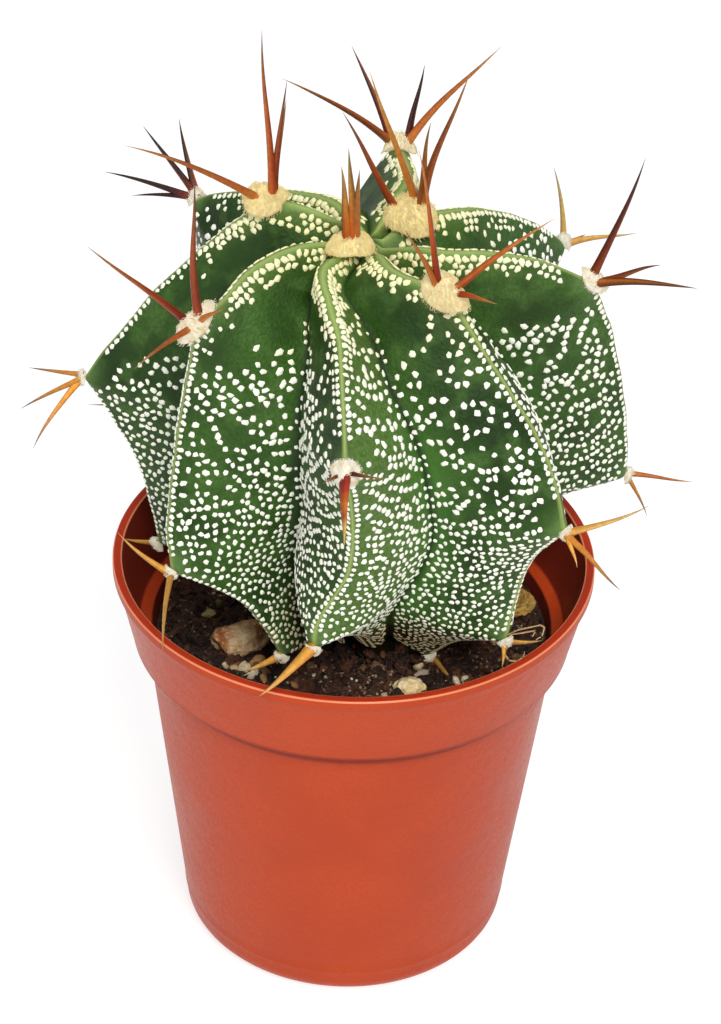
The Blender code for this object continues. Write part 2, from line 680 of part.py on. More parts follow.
def stone_mesh(size, seed, dents, extra=0.0):
    """A stone round the origin: a ball stretched to size, with dents drawn from the seed."""
    mesh = bmesh.new()
    bmesh.ops.create_icosphere(mesh, subdivisions=2, radius=1.0)
    half = [side / 2.0 for side in size]
    for vert in mesh.verts:
        dent = 1.0 + dents * noise.noise(vert.co * 1.4 + Vector((seed, 0.0, 0.0)))
        vert.co = Vector([(h + extra) * c * dent * MM for h, c in zip(half, vert.co)])
    return mesh


def build_stone(name, soil):
    """A stone lying in its own hollow in the soil."""
    place, size, heading, seed, dents, colour = STONES[name]
    stone = new_object(name, stone_mesh(size, seed, dents), principled(name, colour, 0.7), 30.0)
    hollow = as_helper(name + "_hollow", stone_mesh(size, seed, dents, STONE_CLEARANCE))
    spot = Matrix.Translation(Vector(place) * MM) @ Matrix.Rotation(math.radians(heading), 4, "Z")
    stone.matrix_world = spot
    hollow.matrix_world = spot
    cut_from(soil, hollow)
    return stone


def build_stub_hole(soil):
    """The plain hole in the soil that the stem's foot stands in."""
    top, bottom = stub_rings(GAP)
    above = (top[0], top[1] + STUB_HOLE_RISE)
    profile = [(0.0, above[1]), above, top, bottom, (0.0, bottom[1])]
    hole = as_helper("stem_foot_hole", lathe(profile, 32))
    hole.matrix_world = stem_matrix()
    cut_from(soil, hole)


def main():
    """Build the whole plant in an empty scene."""
    for item in list(bpy.data.objects):
        bpy.data.objects.remove(item)
    build_pot()
    soil = build_soil()
    stem = build_stem()
    build_stub_hole(soil)
    for name in STONES:
        build_stone(name, soil)
    wool = principled("areole_wool_and_spines", (0.62, 0.42, 0.20), 0.6)
    for age in AREOLE_AGES:
        build_areole(age, stem, wool)


main()
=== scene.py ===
"""Looks of the potted monk's hood cactus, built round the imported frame.

The fine pieces repeat the rules of the part's own solids: the same rib meridians, areole places and spine
bundles, in millimetres and degrees, with the pot standing on the floor and the front of the plant at -Y.
Every random draw has its own seed.
"""
import itertools
import math
import random

import bmesh
import bpy
import numpy as np
from mathutils import Matrix, Vector, noise


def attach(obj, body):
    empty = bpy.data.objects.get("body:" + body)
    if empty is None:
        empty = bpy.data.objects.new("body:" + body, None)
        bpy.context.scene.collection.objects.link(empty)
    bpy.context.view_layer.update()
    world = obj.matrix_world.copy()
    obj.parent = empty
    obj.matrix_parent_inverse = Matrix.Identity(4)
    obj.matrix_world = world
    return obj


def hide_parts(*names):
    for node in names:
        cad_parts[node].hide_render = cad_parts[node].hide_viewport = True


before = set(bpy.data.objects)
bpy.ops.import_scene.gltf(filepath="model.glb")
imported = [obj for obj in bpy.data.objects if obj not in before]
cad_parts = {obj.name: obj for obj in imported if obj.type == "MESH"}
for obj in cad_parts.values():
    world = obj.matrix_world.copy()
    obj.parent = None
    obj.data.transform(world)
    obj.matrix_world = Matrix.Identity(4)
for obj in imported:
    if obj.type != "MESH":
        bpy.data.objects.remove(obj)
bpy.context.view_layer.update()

MM = 0.001
UP = Vector((0.0, 0.0, 1.0))

# Camera
CAMERA_PLACE = (0.702, -382.751, 335.934)
CAMERA_RIGHT = (0.99946867, 0.0187629, 0.02665215)
CAMERA_UP = (-0.03259423, 0.57534508, 0.81726107)
CAMERA_LENS = 174.76

# Light
SKY_STRENGTH = 0.3
FLOOR_GLOW = 0.75
FLOOR_HALF = 3000.0
LIGHTS_AIM = Vector((0.0, 0.0, 0.07))
# Place in metres, size in metres, power in watts and colour
LIGHTS = {
    "key": ((0.14, -0.62, 0.75), 0.3, 6.6, (1.0, 0.98, 0.94)),
    "fill": ((-0.6, -0.5, 0.4), 0.4, 1.0, (0.98, 0.99, 1.0)),
    "top": ((0.05, 0.15, 1.0), 0.5, 3.0, (1.0, 1.0, 1.0)),
}

# Pot
RIM_RADIUS = 32.5
POT_HEIGHT = 59.7
LIP_HEIGHT = 1.4
LIP_OVERHANG = 0.4
LIP_ROUNDING = 0.3
WALL = 0.9
STEP_HEIGHT = 47.9
COLLAR_BOTTOM_RADIUS = 29.9
BODY_TOP_RADIUS = 28.0
BODY_FOOT_RADIUS = 22.6
FOOT_ROUNDING = 2.8
FLOOR = 1.2
FLOOR_DRAFT = 0.1
POT_SEGMENTS = 192
DRAIN_COUNT = 4
DRAIN_RADIUS = 2.4
DRAIN_RING = 13.5
COLLAR_ROUNDING = 0.35
INNER_LIP_ROUNDING = 0.25
MOULD_RIDGE = 0.07
MOULD_RIDGE_HEIGHT = 4.3

# Soil
GAP = 0.3
SOIL_LEVEL = 46.8
SOIL_BUMP = 0.7
SOIL_BUMP_WIDTH = 4.0
# Height, width and level in the noise of the finer bumps
FINE_BUMPS = ((0.45, 1.1, 9.0), (0.25, 0.45, 14.0))
PEAT_LUMP = (15.5, -6.0)
PEAT_LUMP_HEIGHT = 0.8
PEAT_LUMP_WIDTH = 3.5
SOIL_REACH = 26.4

# Stem meridian, place and lean
EDGE_RADIUS = 36.5
WAIST_HEIGHT = 84.9
RISE_ABOVE = 29.0
DROP_BELOW = 36.0
SHOULDER_POWER = 0.8
CROWN_DIP = 3.8
CROWN_DIP_RADIUS = 7.0
LAST_ANGLE = 164.0
STEM_FOOT = (5.1, 0.9, 48.5)
LEAN_LEFT = 4.1
LEAN_FORWARD = 2.3
STUB_TOP_RADIUS = 9.0
STUB_BOTTOM_RADIUS = 8.4
STUB_TOP_HEIGHT = 47.5
STUB_BOTTOM_HEIGHT = 41.0

# Ribs
RIB_NAMES = ("front", "front_left", "left", "back_left", "back", "back_right", "right", "front_right")
RIB_COUNT = len(RIB_NAMES)
RIB_REACH = (0.96, 0.98, 1.05, 1.02, 0.99, 0.95, 0.95, 0.97)
REACH_RISE = 0.7
REACH_HUB = 76.4
RIB_SWING_ANGLES = (10.0, 22.0, 34.0, 70.0, 98.0, 117.0, 150.0)
RIB_SWINGS = (
    (34.0, 18.0, 9.0, 5.0, 6.5, 16.0, 12.0),
    (17.0, 16.0, 11.0, 13.0, 10.0, 1.0, -12.0),
    (13.0, 12.0, 10.0, 2.0, 0.0, -1.0, -1.0),
    (11.0, 5.0, 1.0, -2.0, -4.0, -5.0, -6.0),
    (28.0, 16.0, 9.0, 6.0, 4.0, 3.0, 1.0),
    (14.0, 10.0, 6.0, 3.0, -1.0, -3.0, -8.0),
    (33.0, 18.0, 9.5, 2.0, 1.0, -1.0, -24.0),
    (31.0, 13.0, 8.0, 1.0, 3.0, 4.0, 13.0),
)
FURROW_DEPTHS = (17.0, 17.0, 17.0, 17.0, 17.0, 17.0, 16.0, 12.0)
FURROW_SHIFT_ANGLES = (40.0, 80.0, 110.0, 140.0)
FURROW_SHIFTS = {0: (0.0, 0.0, 4.0, 16.0), 7: (10.0, 4.0, -1.0, 8.0)}
FURROW_POWER_ABOVE = 0.75
FURROW_POWER_BELOW = 1.3
FURROW_LEVELLING = 12.0
FLANK_BULGE = 1.8
EDGE_HALF_WIDTH = 0.45
EDGE_CROWN_GAIN = 0.35
EDGE_PAD_GAIN = 0.9
EDGE_PAD_LENGTH = 2.2
CROWN_STRAIGHTNESS = (0.1, 0.1, 0.1, 0.5, 0.1, 0.1, 0.1, 0.1)
EDGE_STRAIGHTNESS = (0.8, 0.8, 0.8, 0.6, 0.6, 0.55, 0.2, 0.8)
ARCH_DEPTH = 2.6
ARCH_DEPTHS = {11: 3.2, 14: 6.2, 19: 1.8}
TAIL_DROPS = (0.0, 0.0, 0.0, 0.0, 0.0, 0.0, 0.0, 1.8)
TAIL_START = 131.0
TAIL_FULL = 156.0
ARCH_START = 90.0
ARCH_FULL = 120.0

# Areoles
AGE_ORDER = (0, 5, 2, 7, 4, 1, 6, 3)
AREOLE_AGES = tuple(range(24)) + (27,)
FIRST_ANGLE = -2.1
CROWN_STEP = 8.7
KNEE_AGE = 12.2
SIDE_STEP = 4.0
CROWN_TUFT = (-2.0, -4.6)
CROWN_TUFT_AGE = 0
CROWN_TUFT_ROW = 3.0
CROWN_LIFT = 0.7
LOWEST_FACING = 128.0
CUSHION_HEIGHT = 0.9
CUSHION_YOUNG_GAIN = 0.95
CUSHION_AGEING = 6.0

# Spines
SPINE_RADIUS = 0.6
SPINE_BEND = 0.04
SPINE_SEED = 11
LAST_FULL_AGE = 15
FULL_BUNDLE_COUNT = 4
FULL_BUNDLE_LENGTH = 14.0
FULL_BUNDLE_LEAN = 40.0
LOW_BUNDLE_COUNT = 2
LOW_BUNDLE_LENGTH = 5.0
LOW_BUNDLE_LEAN = 62.0
BUNDLE_FAN = 60.0
# Spines by the age of their areole: turn from the crown to the right, lean from straight out, and length
SPINES = {
    0: ((-90, 4, 11.0), (90, 1, 13.5), (90, 8, 10.5)),
    1: ((60, 9, 17.5), (165, 10, 21.5), (-160, 32, 14.0), (-154, 39, 23.0)),
    2: ((136, 51, 22.5), (10, 8, 24.0), (-12, 19, 14.0), (4, 18, 17.5)),
    3: ((-22, 20, 20.5), (-48, 36, 10.5), (131, 36, 19.0), (165, 66, 8.5)),
    4: ((55, 64, 19.0), (73, 29, 14.0), (-94, 16, 10.5), (-86, 45, 18.5)),
    5: ((-127, 9, 19.0), (7, 38, 21.0), (155, 60, 11.5), (50, 76, 6.0)),
    6: ((4, 26, 18.5), (-137, 25, 9.5), (-129, 40, 15.5)),
    7: ((-30, 2, 11.5), (-60, 27, 10.5), (129, 37, 12.5), (134, 52, 8.5)),
    8: ((-104, 42, 3.5), (87, 59, 6.0), (172, 39, 11.0)),
    9: ((78, 52, 13.0), (-143, 30, 10.5), (-138, 20, 3.0)),
    10: ((-38, 9, 6.5), (143, 31, 8.5), (144, 60, 11.0)),
    11: ((30, 46, 12.5), (-114, 11, 11.0), (-112, 36, 5.0)),
    13: ((-20, 76, 9.5), (112, 46, 11.0)),
    14: ((37, 11, 8.5), (-157, 50, 6.0)),
    16: ((-58, 34, 9.5),),
    18: ((-52, 42, 5.5),),
    19: ((-110, 45, 3.0), (60, 68, 4.5)),
    21: ((-64, 47, 5.0),),
    27: ((63, 20, 4.5),),
}

# Fine stem grid
MM_PER_DEGREE = 0.62
EDGE_ROUNDING = 0.06
FLANK_STEPS = (
    0.0, 0.022, 0.045, 0.075, 0.115, 0.17, 0.235, 0.31, 0.385, 0.46, 0.535, 0.61, 0.69, 0.77, 0.85, 0.93,
)
FINE_ROWS = 168
FIRST_ROW_ANGLE = 1.5
ROLL_WIDTH = 6.5
ROLL_HEIGHT = 0.22
PORE_WIDTH = 1.3
PORE_HEIGHT = 0.035


def mix(start, end, part):
    """Value or vector between two others."""
    return start + (end - start) * part


def ease(part):
    """Smooth step from 0 to 1."""
    part = min(max(part, 0.0), 1.0)
    return part * part * (3.0 - 2.0 * part)


def polar(radius, turn):
    """X and Y of a point round the origin."""
    return radius * math.cos(turn), radius * math.sin(turn)


def srgb(red, green, blue):
    """Linear colour from 0-255 screen values."""
    values = [value / 255.0 for value in (red, green, blue)]
    return tuple(v / 12.92 if v <= 0.04045 else ((v + 0.055) / 1.055) ** 2.4 for v in values)


# Rules of the stem


def areole_angle(age):
    """Polar angle of an areole on the meridian."""
    return FIRST_ANGLE + CROWN_STEP * min(age, KNEE_AGE) + SIDE_STEP * max(age - KNEE_AGE, 0.0)


def areole_rib(age):
    """Index of the rib that an areole sits on."""
    return AGE_ORDER[age % RIB_COUNT]


def smooth_edge(reach, angle):
    """Radius and height of a rib edge before its areoles shape it, as a 2-D vector."""
    turn = math.radians(angle)
    above = angle < 90.0
    power = SHOULDER_POWER if above else 1.0
    radius = EDGE_RADIUS * math.sin(turn) ** power
    rise = RISE_ABOVE * math.cos(turn) ** power if above else DROP_BELOW * math.cos(turn)
    dip = CROWN_DIP * math.exp(-((radius / CROWN_DIP_RADIUS) ** 2))
    height = WAIST_HEIGHT + rise - dip
    return Vector((radius * reach, mix(REACH_HUB, height, 1.0 + REACH_RISE * (reach - 1.0))))


def edge_knots(rib):
    """Ages and polar angles that a rib edge runs between: the crown, its areoles and the foot."""
    own = [age for age in AREOLE_AGES if areole_rib(age) == rib and age != CROWN_TUFT_AGE]
    return [(None, 0.0)] + [(age, areole_angle(age)) for age in own] + [(None, LAST_ANGLE)]


def edge_profile(rib, angle):
    """Radius and height of a rib edge: nearly straight from areole to areole, arched under the old ones."""
    reach = RIB_REACH[rib]
    point = smooth_edge(reach, angle)
    knots = edge_knots(rib)
    for (age, start), (_, end) in zip(knots, knots[1:]):
        if start <= angle <= end:
            part = (angle - start) / (end - start)
            chord = mix(smooth_edge(reach, start), smooth_edge(reach, end), part)
            straightness = (CROWN_STRAIGHTNESS if start == 0.0 else EDGE_STRAIGHTNESS)[rib]
            arched = ease((end - ARCH_START) / (ARCH_FULL - ARCH_START))
            arch = ARCH_DEPTHS.get(age, ARCH_DEPTH) * arched * math.sin(math.pi * part)
            turn = math.radians(angle)
            inward = Vector((-math.sin(turn), -math.cos(turn)))
            drop = TAIL_DROPS[rib] * ease((angle - TAIL_START) / (TAIL_FULL - TAIL_START))
            return mix(point, chord, straightness) + inward * arch - Vector((0.0, drop))
    return point


def furrow_profile(gap, angle):
    """Radius and height of the bottom of the furrow between a rib and the next one clockwise."""
    reach = (RIB_REACH[gap] + RIB_REACH[(gap + 1) % RIB_COUNT]) / 2.0
    turn = math.radians(angle)
    power = FURROW_POWER_ABOVE if angle < 90.0 else FURROW_POWER_BELOW
    depth = FURROW_DEPTHS[gap] * math.sin(turn) ** power
    slope = math.radians(angle + FURROW_LEVELLING * math.sin(2.0 * turn))
    return smooth_edge(reach, angle) - Vector((math.sin(slope), math.cos(slope))) * depth


def along_marks(marks, values, angle):
    """Value at a polar angle, on a smooth curve through the values at the marked angles."""
    angle = min(max(angle, marks[0]), marks[-1])
    last = len(marks) - 1
    slopes = [0.0]
    for k in range(1, last):
        slopes.append((values[k + 1] - values[k - 1]) / (marks[k + 1] - marks[k - 1]))
    slopes.append(0.0)
    k = max(i for i in range(last) if marks[i] <= angle)
    width = marks[k + 1] - marks[k]
    part = (angle - marks[k]) / width
    level = mix(values[k], values[k + 1], ease(part))
    leaving = slopes[k] * part * (1.0 - part) ** 2
    arriving = slopes[k + 1] * part * part * (part - 1.0)
    return level + (leaving + arriving) * width


def rib_swing(rib, angle):
    """How far a rib edge is turned from its even place round the plant."""
    return along_marks(RIB_SWING_ANGLES, RIB_SWINGS[rib], angle)


def furrow_turn(gap, angle):
    """Where the furrow between a rib and the next one clockwise lies round the plant."""
    swing = (rib_swing(gap, angle) + rib_swing((gap + 1) % RIB_COUNT, angle)) / 2.0
    shift = 0.0
    if gap in FURROW_SHIFTS:
        shift = along_marks(FURROW_SHIFT_ANGLES, FURROW_SHIFTS[gap], angle)
    return 360.0 / RIB_COUNT * (gap + 0.5) + swing + shift


def outward(turn):
    """Horizontal unit vector at an angle clockwise from the front, seen from above."""
    turn = math.radians(turn)
    return Vector((-math.sin(turn), -math.cos(turn), 0.0))


def clockwise(turn):
    """Horizontal unit vector along the growing turn."""
    turn = math.radians(turn)
    return Vector((-math.cos(turn), math.sin(turn), 0.0))


def place_on_stem(profile, turn):
    """Point of the stem in its own frame, whose origin is the stem's foot."""
    return outward(turn) * profile[0] + Vector((0.0, 0.0, profile[1] - STEM_FOOT[2]))


def edge_point(rib, angle):
    """Point on a rib edge in the stem's frame."""
    turn = 360.0 / RIB_COUNT * rib + rib_swing(rib, angle)
    return place_on_stem(edge_profile(rib, angle), turn)


def edge_half_width(rib, angle):
    """Half the width of a rounded rib edge, which is broader at the crown and under each young areole."""
    width = EDGE_HALF_WIDTH + EDGE_CROWN_GAIN * (1.0 - ease((angle - 18.0) / 30.0))
    for age, place in edge_knots(rib)[1:-1]:
        along = (angle - place) * MM_PER_DEGREE / EDGE_PAD_LENGTH
        width += EDGE_PAD_GAIN * math.exp(-age / 9.0) * math.exp(-along * along)
    return width


def gap_beside(rib, side):
    """Index of the furrow on a rib's clockwise (+1) or other side."""
    return rib if side == 1 else (rib - 1) % RIB_COUNT


def flank_line(rib, side, angle):
    """Points of one flank at one polar angle, from the rib edge to the furrow."""
    gap = gap_beside(rib, side)
    edge_turn = 360.0 / RIB_COUNT * rib + rib_swing(rib, angle)
    bottom_turn = furrow_turn(gap, angle) - (360.0 if gap > rib else 0.0)
    edge = place_on_stem(edge_profile(rib, angle), edge_turn)
    furrow = place_on_stem(furrow_profile(gap, angle), bottom_turn)
    half_width = edge_half_width(rib, angle) * min(1.0, angle / 12.0)
    points = []
    for step in FLANK_STEPS + (1.0,):
        point = mix(edge, furrow, step)
        rounding = math.sqrt(min(step / EDGE_ROUNDING, 1.0))
        point += clockwise(edge_turn) * side * half_width * (1.0 - step) * rounding
        bulge = FLANK_BULGE * math.sin(math.pi * step) * math.sin(math.radians(angle))
        points.append(point + outward(mix(edge_turn, bottom_turn, step)) * bulge)
    return points


def stem_matrix():
    """The stem's place on the soil and its lean, in millimetres."""
    lean = Vector((-math.tan(math.radians(LEAN_LEFT)), -math.tan(math.radians(LEAN_FORWARD)), 1.0))
    tilt = UP.rotation_difference(lean.normalized())
    return Matrix.Translation(Vector(STEM_FOOT)) @ tilt.to_matrix().to_4x4()


STEM = stem_matrix()
STEM_TURN = np.array(STEM.to_3x3())


# Helpers for objects and materials


def new_object(name, data):
    """Link a new object to the scene."""
    item = bpy.data.objects.new(name, data)
    bpy.context.scene.collection.objects.link(item)
    return item


def add_object(name, verts, faces, material, smooth_angle=None):
    """Link a new mesh object whose coordinates are given in millimetres."""
    mesh = bpy.data.meshes.new(name)
    mesh.from_pydata([tuple(float(c) * MM for c in v) for v in verts], [], faces)
    mesh.validate()
    mesh.materials.append(material)
    mesh.shade_smooth()
    if smooth_angle is not None:
        mesh.set_sharp_from_angle(angle=math.radians(smooth_angle))
    return new_object(name, mesh)


def settle(item, slot, *nodes):
    """Ride on the root body and stand for the CAD nodes; the slot is not used."""
    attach(item, "root")
    if nodes:
        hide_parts(*nodes)


def paint(item, name, colours):
    """Store one colour for each vertex, worked out by rule."""
    layer = item.data.color_attributes.new(name, "FLOAT_COLOR", "POINT")
    values = np.ones((len(item.data.vertices), 4), np.float32)
    values[:, :3] = colours
    layer.data.foreach_set("color", values.ravel())


class Piece:
    """A growing mesh in millimetres, with one colour for each vertex."""

    def __init__(self):
        self.verts = []
        self.faces = []
        self.tints = []

    def add(self, points, tint):
        """Append points of one colour and return the index of the first."""
        first = len(self.verts)
        self.verts += [tuple(point) for point in points]
        self.tints += [tint] * len(points)
        return first

    def close_tube(self, first, sides):
        """Join the rings of points since the given one into a tube with two end caps."""
        steps = (len(self.verts) - first) // sides - 1
        for ring in range(first, first + steps * sides, sides):
            for k in range(sides):
                a, b = ring + k, ring + (k + 1) % sides
                self.faces.append((a, b, b + sides, a + sides))
        self.faces.append(tuple(first + k for k in reversed(range(sides))))
        self.faces.append(tuple(first + steps * sides + k for k in range(sides)))

    def thread(self, points, width, tint):
        """Append a thin three-sided thread along a path."""
        first = len(self.verts)
        last = len(points) - 1
        turns = [math.tau * k / 3.0 for k in range(3)]
        for i, point in enumerate(points):
            along = (points[min(i + 1, last)] - points[max(i - 1, 0)]).normalized()
            side = along.orthogonal().normalized()
            other = along.cross(side)
            taper = 0.35 + 0.65 * math.sin(math.pi * (0.08 + 0.84 * i / last))
            spokes = [side * math.cos(t) + other * math.sin(t) for t in turns]
            self.add([point + spoke * width * taper for spoke in spokes], tint)
        self.close_tube(first, 3)

    def lump(self, centre, size, turn, detail, seed, dents, tint):
        """Append one irregular lump."""
        unit, links = BALLS[detail]
        offset = Vector((seed * 7.31, seed * 3.17, seed * 1.93))
        points = []
        for co in unit:
            dent = 1.0 + dents * noise.noise(Vector(co) * 1.3 + offset)
            points.append(Vector(centre) + turn @ Vector([h * c * dent for h, c in zip(size, co)]))
        first = self.add(points, tint)
        self.faces += [tuple(first + i for i in face) for face in links]

    def finish(self, name, material, slot, nodes=(), smooth_angle=None):
        """Make the object, paint it and settle it."""
        item = add_object(name, self.verts, self.faces, material, smooth_angle)
        paint(item, "tint", self.tints)
        settle(item, slot, *nodes)


class Shader:
    """Short names for building one material's nodes."""

    def __init__(self, name):
        self.material = bpy.data.materials.new(name)
        self.material.use_nodes = True
        self.nodes = self.material.node_tree.nodes
        self.links = self.material.node_tree.links
        self.shader = self.nodes["Principled BSDF"]

    def feed(self, value, socket):
        """Link an output to a socket, or set the socket's own value."""
        if isinstance(value, bpy.types.NodeSocket):
            self.links.new(value, socket)
        else:
            socket.default_value = value

    def set(self, **values):
        """Outputs and constant values for the shader's own sockets."""
        for key, value in values.items():
            self.feed(value, self.shader.inputs[key.replace("_", " ")])

    def node(self, kind, inputs, **settings):
        """Outputs of a new node with these settings, whose sockets are fed."""
        made = self.nodes.new(kind)
        for key, value in settings.items():
            setattr(made, key, value)
        for key, value in inputs.items():
            self.feed(value, made.inputs[key])
        return made.outputs

    def place(self):
        """Object coordinates in millimetres."""
        metres = self.node("ShaderNodeTexCoord", {})["Object"]
        return self.node("ShaderNodeVectorMath", {0: metres, "Scale": 1.0 / MM}, operation="SCALE")[0]

    def height(self):
        """Height over the floor in millimetres, for a piece whose origin is on the floor."""
        return self.node("ShaderNodeSeparateXYZ", {0: self.place()})[2]

    def stretch(self, place, factors):
        """The same coordinates, scaled by axis."""
        return self.node("ShaderNodeVectorMath", {0: place, 1: factors}, operation="MULTIPLY")[0]

    def noise(self, place, width, detail=2.0, roughness=0.5, low=0.3, high=0.7):
        """Soft noise with features of the given width in millimetres, spread to 0..1."""
        inputs = {"Vector": place, "Scale": 1.0 / width, "Detail": detail, "Roughness": roughness}
        return self.spread(self.node("ShaderNodeTexNoise", inputs)["Fac"], low, high)

    def cells(self, place, width, low, high, start, end):
        """Distance to scattered points, spread like any value."""
        inputs = {"Vector": place, "Scale": 1.0 / width}
        distance = self.spread(self.node("ShaderNodeTexVoronoi", inputs)["Distance"], 0.0, 1.0)
        return self.spread(distance, low, high, start, end)

    def spread(self, value, low, high, start=0.0, end=1.0):
        """Map low..high to start..end, smoothly."""
        inputs = {"Value": value, "From Min": low, "From Max": high, "To Min": start, "To Max": end}
        return self.node("ShaderNodeMapRange", inputs, interpolation_type="SMOOTHSTEP")[0]

    def times(self, first, second):
        """Product of two values, each an output or a number."""
        return self.node("ShaderNodeMath", {0: first, 1: second}, operation="MULTIPLY")[0]

    def plus(self, first, second):
        """Sum of two values, each an output or a number."""
        return self.node("ShaderNodeMath", {0: first, 1: second}, operation="ADD")[0]

    def blend(self, first, second, part):
        """Colour between two others, each a colour or an output."""
        first, second = ((*c, 1.0) if isinstance(c, tuple) else c for c in (first, second))
        return self.node("ShaderNodeMix", {0: part, 6: first, 7: second}, data_type="RGBA")[2]

    def coats(self, colour, *coats):
        """A colour under coats of others, each coat given as its screen colour and its share."""
        for screen, share in coats:
            colour = self.blend(colour, srgb(*screen), share)
        return colour

    def layer(self, name):
        """A colour layer, and its red, green and blue."""
        colour = self.node("ShaderNodeAttribute", {}, attribute_name=name)["Color"]
        return colour, *self.node("ShaderNodeSeparateColor", {0: colour})[:3]

    def bump(self, height, depth):
        """Small relief, its depth in millimetres."""
        self.set(Normal=self.node("ShaderNodeBump", {"Distance": depth * MM, "Height": height})[0])


# The pot


def arc(centre, radius, start, end, steps):
    """Points of an arc in the (radius, height) plane, from one angle to another."""
    offsets = [polar(radius, math.radians(mix(start, end, i / steps))) for i in range(steps + 1)]
    return [(centre[0] + x, centre[1] + y) for x, y in offsets]


def run(start, end, steps):
    """Points of a straight run, without its last one."""
    return [(mix(start[0], end[0], i / steps), mix(start[1], end[1], i / steps)) for i in range(steps)]


def body_radius(height):
    """Outside radius of the pot's tapered body."""
    part = (height - FOOT_ROUNDING) / (STEP_HEIGHT - FOOT_ROUNDING)
    return mix(BODY_FOOT_RADIUS, BODY_TOP_RADIUS, part)


def pot_profile():
    """The pot's section: up the outside from the middle of the underside, then down the inside."""
    foot_radius = BODY_FOOT_RADIUS - FOOT_ROUNDING
    ridge = MOULD_RIDGE_HEIGHT
    below, above = ridge - 0.3, ridge + 0.3
    above_foot = FOOT_ROUNDING + 0.3
    profile = run((0.0, 0.0), (foot_radius, 0.0), 6)
    profile += arc((foot_radius, FOOT_ROUNDING), FOOT_ROUNDING, -90.0, 0.0, 8)
    profile += run((body_radius(above_foot), above_foot), (body_radius(below), below), 2)
    profile += [(body_radius(below), below), (body_radius(ridge) + MOULD_RIDGE, ridge)]
    profile += run((body_radius(above), above), (BODY_TOP_RADIUS, STEP_HEIGHT - 0.5), 24)
    profile += [
        (BODY_TOP_RADIUS - 0.05, STEP_HEIGHT - 0.5),
        (BODY_TOP_RADIUS - 0.02, STEP_HEIGHT - 0.12),
        (BODY_TOP_RADIUS + 0.1, STEP_HEIGHT),
    ]
    collar_top = RIM_RADIUS - LIP_OVERHANG
    under_lip = POT_HEIGHT - LIP_HEIGHT
    collar_centre = (COLLAR_BOTTOM_RADIUS - COLLAR_ROUNDING, STEP_HEIGHT + COLLAR_ROUNDING)
    profile += arc(collar_centre, COLLAR_ROUNDING, -90.0, 0.0, 4)
    profile += run((COLLAR_BOTTOM_RADIUS + 0.05, STEP_HEIGHT + 0.7), (collar_top, under_lip - 0.15), 8)
    profile += [
        (collar_top, under_lip - 0.15),
        (collar_top + 0.06, under_lip - 0.03),
        (RIM_RADIUS - 0.1, under_lip),
        (RIM_RADIUS, under_lip + 0.1),
    ]
    profile += arc((RIM_RADIUS - LIP_ROUNDING, POT_HEIGHT - LIP_ROUNDING), LIP_ROUNDING, 0.0, 90.0, 5)
    ledge = STEP_HEIGHT + WALL
    inner_top = collar_top - WALL
    inner_collar = COLLAR_BOTTOM_RADIUS - WALL
    inner_body = body_radius(ledge) - WALL
    inner_foot = (body_radius(FOOT_ROUNDING) - WALL - FLOOR_DRAFT, FOOT_ROUNDING)
    inner_centre = (inner_top + INNER_LIP_ROUNDING, POT_HEIGHT - INNER_LIP_ROUNDING)
    profile += arc(inner_centre, INNER_LIP_ROUNDING, 90.0, 180.0, 4)
    profile += run((inner_top - 0.08, POT_HEIGHT - LIP_ROUNDING - 0.4), (inner_collar, ledge + 0.2), 8)
    profile += [(inner_collar, ledge + 0.2), (inner_collar - 0.2, ledge)]
    profile += [(inner_body + 0.15, ledge), (inner_body, ledge - 0.15)]
    profile += run((inner_body - 0.02, ledge - 0.4), inner_foot, 12)
    return profile + [inner_foot] + run((foot_radius, FLOOR), (0.0, FLOOR), 6) + [(0.0, FLOOR)]


def spin(profile, segments):
    """Vertices and faces of a profile spun round Z, with its two ends on the axis."""
    verts = [(0.0, 0.0, profile[0][1]), (0.0, 0.0, profile[-1][1])]
    rings = []
    for radius, height in profile[1:-1]:
        rings.append([len(verts) + k for k in range(segments)])
        verts += [(*polar(radius, math.tau * k / segments), height) for k in range(segments)]
    faces = []
    for k in range(segments):
        beside = (k + 1) % segments
        faces.append((0, rings[0][beside], rings[0][k]))
        faces.append((1, rings[-1][k], rings[-1][beside]))
        for lower, upper in zip(rings, rings[1:]):
            faces.append((lower[k], lower[beside], upper[beside], upper[k]))
    return verts, faces


def pot_material():
    """Terracotta-red plastic: uneven and satin, with painted shade inside, a painted shadow under the
    collar, painted shade on the lip's top and painted highlights on the lip's rounded edges.
    """
    s = Shader("pot_plastic_fine")
    place, height = s.place(), s.height()
    cloud = s.noise(place, 13.0, 3.0)
    grain = s.noise(place, 0.5, 2.0, 0.6)
    # Painted shadow: a dark band on the body just under the collar and on the collar's lower edge, where the
    # collar's shade falls.
    under = s.spread(height, STEP_HEIGHT - 2.5, STEP_HEIGHT - 1.9)
    collar_shadow = s.times(under, s.spread(height, STEP_HEIGHT + 0.3, STEP_HEIGHT + 0.6, 1.0, 0.0))
    # Painted shade on the lip's flat top, set against the stronger light that falls on it; the top is also
    # glossier.
    top = s.spread(height, POT_HEIGHT - 0.16, POT_HEIGHT - 0.04)
    _, inside, lip_edge_highlight, _ = s.layer("zones")
    colour = s.coats(
        s.blend(srgb(176, 59, 16), srgb(184, 65, 20), cloud),
        ((160, 53, 20), s.times(grain, 0.3)),
        ((124, 26, 4), s.times(collar_shadow, 0.66)),
        # Painted shade over the whole inside of the pot.
        ((130, 44, 30), inside),
        # Painted shade on the lip's top.
        ((168, 46, 18), top),
        # Painted highlight along the lip's rounded edges.
        ((242, 150, 108), s.times(lip_edge_highlight, 0.75)),
    )
    gloss = s.spread(s.plus(cloud, grain), 0.2, 1.8, 0.34, 0.46)
    s.set(Base_Color=colour, Roughness=s.plus(gloss, s.times(top, -0.22)), Specular_IOR_Level=0.22)
    s.bump(s.plus(s.times(grain, 0.4), s.noise(place, 2.4, 2.0)), 0.03)
    return s.material


